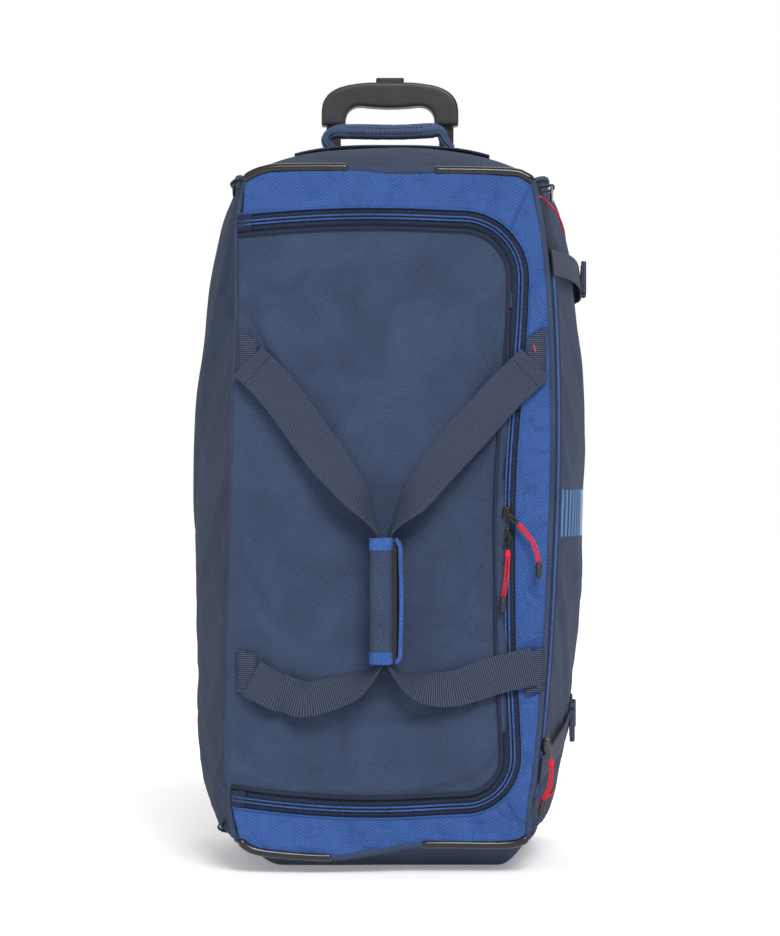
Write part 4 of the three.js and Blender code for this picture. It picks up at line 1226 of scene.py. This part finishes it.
# ---------- zip sliders and pulls ----------
def slider_and_pull(name, which, sweep, look):
    """A domed slider and its bridge, which ride the body slider_WHICH, and the pull that hangs on it."""
    body = "slider_" + which
    low, high = (np.array(c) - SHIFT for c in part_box(body))
    x, z = (low[0] + high[0]) / 2, (low[2] + high[2]) / 2
    back, height = high[1], high[2] - low[2]
    width, dome_height, tall, across = 0.0104, 0.0042, 16, 8
    rows = []
    for k in range(tall + 1):
        v = k / tall
        half = width / 2 * (0.72 + 0.28 * math.sin(math.pi * min(1.0, v * 1.25)))
        row = []
        for j in range(across + 1):
            u = 2 * j / across - 1
            dome = dome_height * (1 - 0.45 * u * u) * (0.75 + 0.25 * math.sin(math.pi * v))
            row.append((x + u * half, back - dome, z + (v - 0.5) * height))
        rows.append(row)
    piece = sheet_object(name + "_body", rows, look, "front", 0.0034, body=body)
    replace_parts(piece, body)
    arch = ((0.003, 0.005), (0.0065, 0.0035), (0.0072, 0), (0.0065, -0.0035), (0.003, -0.005))
    bridge = smooth_path([(x, back - forward, z + up) for forward, up in arch], 20)
    tube_object(name + "_bridge", bridge, 0.0008, look, 8, body)
    build_pull(name, "pull_" + which, (x, back - 0.0086, z), sweep, look)


def build_pull(name, body, start, sweep, look):
    """A wire loop, a knot, a doubled red cord and a moulded tip, along the sweep's offsets in millimetres."""
    path = smooth_path([(start[0] + a / 1000, start[1], start[2] + b / 1000) for a, b in sweep], 70)
    tangents = unit_tangents(path)
    sideways = np.stack([-tangents[:, 2], 0 * tangents[:, 0], tangents[:, 0]], axis=1)
    loop_end, knot_end, cord_end = 14, 22, 54  # where each part ends, of the path's 70 points
    wire_half_width, strand_offset = 0.0019, 0.00128
    wire = []
    spread = wire_half_width * np.sin(np.linspace(0.4, math.pi, loop_end))[:, None]
    for sign in (1, -1):
        part = path[:loop_end] + sideways[:loop_end] * sign * spread
        wire += list(part if sign > 0 else part[::-1])
    tube_object(name + "_wire", wire + [wire[0]], 0.0009, look, 6, body, "dark_metal")
    knot = path[loop_end - 1 : knot_end]
    turns = 0.0003 * np.sin(np.arange(len(knot)) * 2.2)
    radii = 0.0013 + 0.0015 * np.sin(np.linspace(0.2, math.pi - 0.2, len(knot))) + turns
    tube_object(name + "_knot", knot, radii, red, 12, body)
    for letter, sign in (("a", -1), ("b", 1)):
        run = slice(knot_end - 2, cord_end + 2)
        strand = path[run] + sideways[run] * sign * strand_offset
        twist = np.sin(np.arange(len(strand)) * 1.3)[:, None] * 0.00008
        tube_object(f"{name}_cord_{letter}", strand + twist, STRAND_RADIUS, red, 8, body)
    tip = path[cord_end:]
    profile = [0.0022, 0.0030, 0.0034, 0.0029, 0.0021, 0.0008]
    swell = np.interp(np.linspace(0, 1, len(tip)), [0, 0.12, 0.35, 0.8, 0.95, 1], profile)
    ridges = 0.00022 * np.sign(np.sin(np.linspace(0, 26, len(tip))))
    end = tube_object(name + "_tip", tip, swell + ridges, pebbled, 12, body)
    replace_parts(end, body)


def build_pulls():
    slider_and_pull("slider_up", "upper", [(0, 0), (5, -4), (14, -13), (24, -26), (29, -42), (30, -60)],
                    slider_black)
    slider_and_pull("slider_low", "lower", [(0, 0), (0, -5), (0.6, -22), (-1, -42), (-3, -56), (-5, -74)],
                    slider_black)
    slider_and_pull("slider_side", "side", [(0, 0), (1, -5), (4, -20), (2, -38), (-3, -50), (-7, -66)],
                    gunmetal)


# ---------- right side details ----------
def build_side_details(pocket):
    for name, s_range, t_end, material, lift in (
        ("side_zip_line", (0.026, 0.036), 0.872, blue_tape, 0.0020),
        ("side_zip_tape_skin", (0.004, 0.056), 0.995, tape, 0.0008),
    ):
        rows = wall_grid("right", 120, 3, lift, (0.06, t_end), s_range)
        piece = sheet_object(name, rows, material, "right", TAPE_THICKNESS)
    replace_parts(piece, "side_zip_tape")  # the tape is the one made last
    compression_strap("top", 0.876, 0.838, pocket)
    compression_strap("bottom", 0.102, 0.185, pocket)
    for name, height, stretch in (
        ("top", lambda s: 0.976 - 0.066 * (s / 0.5) ** 1.3, np.linspace(0.01, 0.56, 40)),
        ("bottom", lambda s: 0.040 + 0.022 * (s - 0.12) / 0.12, np.linspace(0.12, 0.24, 20)),
    ):
        points = [wall_point("right", height(s), s, 0.0012) for s in stretch]
        cord = tube_object("accent_cord_" + name, points, 0.0011, red, 8)
        settle_cord(cord, pocket)
    lashing_tabs()


def settle_cord(cord, surface):
    """Moves a cord's whole section on to the wrinkled panel without flattening it."""
    tree = BVHTree.FromObject(surface, bpy.context.evaluated_depsgraph_get())
    for start in range(0, len(cord.data.vertices), 8):
        ring = [cord.data.vertices[k] for k in range(start, start + 8)]
        centre = sum((v.co for v in ring), Vector()) / 8
        hit = seen_from_right(tree, centre)
        if hit:
            for vertex in ring:
                vertex.co.x += hit.x + 0.0006 - centre.x


def seen_from_right(tree, point):
    """The panel's outer face at this point, looked for 30 mm to either side."""
    return tree.ray_cast(point + Vector((0.03, 0, 0)), Vector((-1, 0, 0)), 0.06)[0]


def compression_strap(name, t_start, t_end, pocket):
    """A strap sewn into the front seam, crossing the pocket to the back seam, with its free end looped."""
    half = SIDE_STRAP / 2 / (RIGHT_HIGH - RIGHT_LOW)
    tree = BVHTree.FromObject(pocket, bpy.context.evaluated_depsgraph_get())
    steps, across = 90, 7
    points = []
    for a in np.linspace(0, 1, steps):
        t = mix(t_start, t_end, min(1.0, a * 1.9))
        s = mix(0.010, 0.985, a)
        row = [wall_point("right", t + b * half, s, 0.0032) for b in np.linspace(-1, 1, across)]
        for point in row:
            hit = seen_from_right(tree, Vector(point + SHIFT))
            if hit:
                point[0] = max(point[0] - 0.0012, hit.x - SHIFT[0] + 0.0016)
        points.append(row)
    points = np.array(points)
    for j in range(across):
        points[:, j, 0] = np.convolve(np.pad(points[:, j, 0], 3, "edge"), np.ones(7) / 7, "valid")
    strap = strap_band("compression_" + name, points, SIDE_STRAP)
    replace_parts(strap, "compression_strap_" + name)
    tail(name, points[int(steps * 0.44) : int(steps * 0.5), across // 2])


def strap_band(name, points, width, thickness=STRAP_THICKNESS):
    rows, across = points.shape[:2]
    reach = distances(points[:, across // 2])
    uvs = [((j / (across - 1) - 0.5) * width, reach[i]) for i in range(rows) for j in range(across)]
    faces = grid_faces(rows, across)
    strap = make_object(name, points.reshape(-1, 3), faces, webbing, uvs)
    thicken(strap, thickness, 0, bevel=thickness * 0.25)
    return strap


def tail(name, centre):
    """The doubled part of the strap: a slim webbing keeper and the free end standing in a small loop."""
    start = centre[0]
    along = centre[-1] - start
    along /= np.linalg.norm(along)
    out = np.array([along[1], -along[0], 0.0])
    half = SIDE_STRAP / 2
    section = smooth_path([(0.0010, -0.020), (0.0024, -0.010), (0.0028, 0.0), (0.0044, 0.006),
                           (0.0056, 0.010), (0.0052, 0.0145), (0.0032, 0.0155), (0.0020, 0.012),
                           (0.0014, 0.006)], 44)
    keeper = smooth_path([(0.0006, -0.026), (0.0046, -0.0255), (0.0052, -0.021), (0.0048, -0.0165),
                          (0.0010, -0.016)], 24)
    for part, outline, reach, thickness in (
        ("tail", section, half, STRAP_THICKNESS),
        ("keeper", keeper, half + 0.003, TAB_THICKNESS),
    ):
        across = np.linspace(-reach, reach, 5)
        rows = [[start + a * out + b * along + (0, 0, h) for h in across] for a, b in outline]
        strap_band(f"strap_{part}_{name}", np.array(rows), SIDE_STRAP, thickness)


def folded_tab(name, outline, count, centre, half, columns=5):
    """A short loop of webbing. The outline gives x and z offsets from its centre."""
    x, y, z = centre
    across = np.linspace(-half, half, columns)
    rows = [[(x + a, y + b, z + c) for b in across] for a, c in smooth_path(outline, count)]
    return strap_band(name, np.array(rows), 2 * half, TAB_THICKNESS)


def lashing_tabs():
    low, high = (np.array(c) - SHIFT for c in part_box("ring_tab"))
    middle = (low[1] + high[1]) / 2
    length = high[0] - low[0]
    outline = [(-length - 0.004, -0.0030), (-0.006, -0.0006), (-0.0015, -0.0002), (-0.0002, -0.0028),
               (-0.0018, -0.0052), (-0.006, -0.0056), (-length - 0.003, -0.0072)]
    tab = folded_tab("ring_tab_skin", outline, 40, (high[0], middle, high[2]), (high[1] - low[1]) / 2)
    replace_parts(tab, "ring_tab")
    left_corner_tab(middle)
    outline = [(0.003, 0.004), (-0.004, 0.003), (-0.008, -0.001), (-0.004, -0.005), (0.003, -0.006)]
    folded_tab("foot_tab_skin", outline, 24, wall_point("left", 0.022, 0.16), 0.006, columns=4)


def left_corner_tab(y):
    """A folded tab at the top left corner, with a small dark ring through it."""
    x, _, z = wall_point("left", 0.99, (y - FRONT_Y) / (BACK_Y - FRONT_Y))
    outline = [(0.005, 0.004), (-0.004, 0.0035), (-0.0085, 0.001), (-0.0090, -0.002), (-0.006, -0.0035),
               (0.004, -0.005)]
    folded_tab("corner_tab_skin", outline, 30, (x, y, z), 0.008)
    angles = np.linspace(0, 2 * math.pi, 25)
    ring = [(x - 0.0065, y + 0.0078 * math.cos(a), z - 0.004 + 0.0075 * math.sin(a)) for a in angles]
    tube_object("corner_ring", ring, 0.0012, tube_paint, 8)


# ---------- top grab handle ----------
def build_grab_handle():
    count, columns, half_length = 70, 6, 0.097
    across = np.linspace(-0.5, 0.5, columns) * GRAB_WEBBING
    points = []
    for a in np.linspace(0, 1, count):
        t = (mix(-half_length, half_length, a) + TOP_HALF) / (2 * TOP_HALF)
        points += [wall_point("top", t, 0.5 + b / (BACK_Y - FRONT_Y), 0.0028) for b in across]
    uvs = [(b, mix(0, 0.2, i / (count - 1))) for i in range(count) for b in across]
    faces = grid_faces(count, columns)
    strip = make_object("crest_strip", points, faces, webbing, uvs)
    face_outward(strip, Vector((0, 0, 1)))
    thicken(strip, 0.002, -1)
    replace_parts(strip, "grab_handle_strip")
    grab_tube()


def grab_tube():
    """A padded fabric tube with lengthwise pleats, gathered where its ends turn down to the strip."""
    spine = smooth_path([(x / 1000, MIDDLE_Y, z / 1000) for x, z in (
        (-57, 700), (-61, 704), (-63.5, 709), (-61.5, 714.5), (-55, 717.8), (-40, 718.6), (0, 718.0),
        (36, 719.2), (46, 719.6), (51.5, 716.5), (53.5, 711), (56.5, 706), (61, 701))], 170)
    count, sides = len(spine), 36
    end_radius, middle_radius = 0.0042, 0.0076
    along = np.linspace(0, 1, count)
    full = smooth_step(0.10, 0.22, along) * (1 - smooth_step(0.80, 0.90, along))
    vertices, uvs = [], []
    for k, (point, tangent) in enumerate(zip(spine, unit_tangents(spine))):
        up = np.cross(tangent, (0, 1, 0))
        for j in range(sides):
            angle = 2 * math.pi * j / sides
            pleat = -0.0007 * abs(math.sin(angle * 3 + 0.5)) ** 8 * full[k]
            gather = (1 - full[k]) * 0.0011 * math.cos(angle * 8 + 40 * along[k])
            wobble = 0.0004 * ripple((along[k] * 14, math.cos(angle), math.sin(angle)), 1.2, 41)
            radius = mix(end_radius, middle_radius, full[k]) + pleat + gather + wobble
            vertices.append(point + (np.array([0, 1.1, 0]) * math.cos(angle) + up * math.sin(angle)) * radius)
            uvs.append((angle * 0.0072, along[k] * 0.15))
    faces = tube_faces(count, sides)
    # The tube takes the brightened navy, which is partly painted light
    tube = make_object("grab_tube", vertices, faces, navy_grab_paler_and_painted_light, uvs, "grab_handle")
    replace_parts(tube, "grab_handle")
    for name, height in (("low", -0.0022), ("high", 0.0034)):
        line = [p + np.array([0, -0.0078, height]) for p in spine[40:-40]]
        stitches("grab_seam_" + name, line, thread_navy, "grab_handle")


# ---------- hardware carried over from the frame ----------
def dress(node, material, bevel=0.0, segments=2):
    obj = frame["nodes"][node]
    obj.data.materials.clear()
    obj.data.materials.append(material)
    if bevel:
        modifier = round_edges(obj, bevel, segments)
        modifier.limit_method = "ANGLE"
        modifier.angle_limit = math.radians(35)


def soften(node, name, material, body, voxel=0.0012, rounds=6):
    """Replaces a moulded CAD piece with a smoothed copy of itself."""
    source = frame["nodes"][node]
    copy = add_object(name, source.data.copy())
    remesh = copy.modifiers.new("remesh", "REMESH")
    remesh.mode = "VOXEL"
    remesh.voxel_size = voxel
    blur = copy.modifiers.new("smooth", "SMOOTH")
    blur.factor = 0.5
    blur.iterations = rounds
    apply_modifiers(copy)
    copy.data.materials.clear()
    copy.data.materials.append(material)
    copy.data.polygons.foreach_set("use_smooth", [True] * len(copy.data.polygons))
    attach(copy, body)
    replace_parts(copy, node)


def build_hardware():
    soften("trolley_grip", "grip_moulding", black, "trolley_inner", rounds=10)
    soften("trolley_button", "button_moulding", pebbled, "trolley_button", 0.0008)
    for side in ("left", "right"):
        dress("trolley_outer_tube_" + side, tube_paint)
        dress("trolley_inner_tube_" + side, tube_paint)
        dress("wheel_housing_" + side, black, 0.002, 3)
        dress("axle_" + side, metal, 0.0008)
        dress("wheel_tyre_" + side, rubber, 0.0006)
        dress("wheel_hub_" + side, black, 0.0006)
        dress("back_skid_" + side, black, 0.002, 3)
    dress("trolley_middle_stage", tube_paint)
    dress("trolley_bezel", black, 0.0015, 3)
    dress("trolley_board", black)
    dress("trolley_foot_bracket", black, 0.001)
    dress("front_foot", rubber, 0.0006)
    dress("lashing_ring", metal)


side_pocket = build_walls()
build_lid()
build_zip()
build_surround()
build_front_edges()
build_handles()
build_pulls()
build_side_details(side_pocket)
build_grab_handle()
build_hardware()
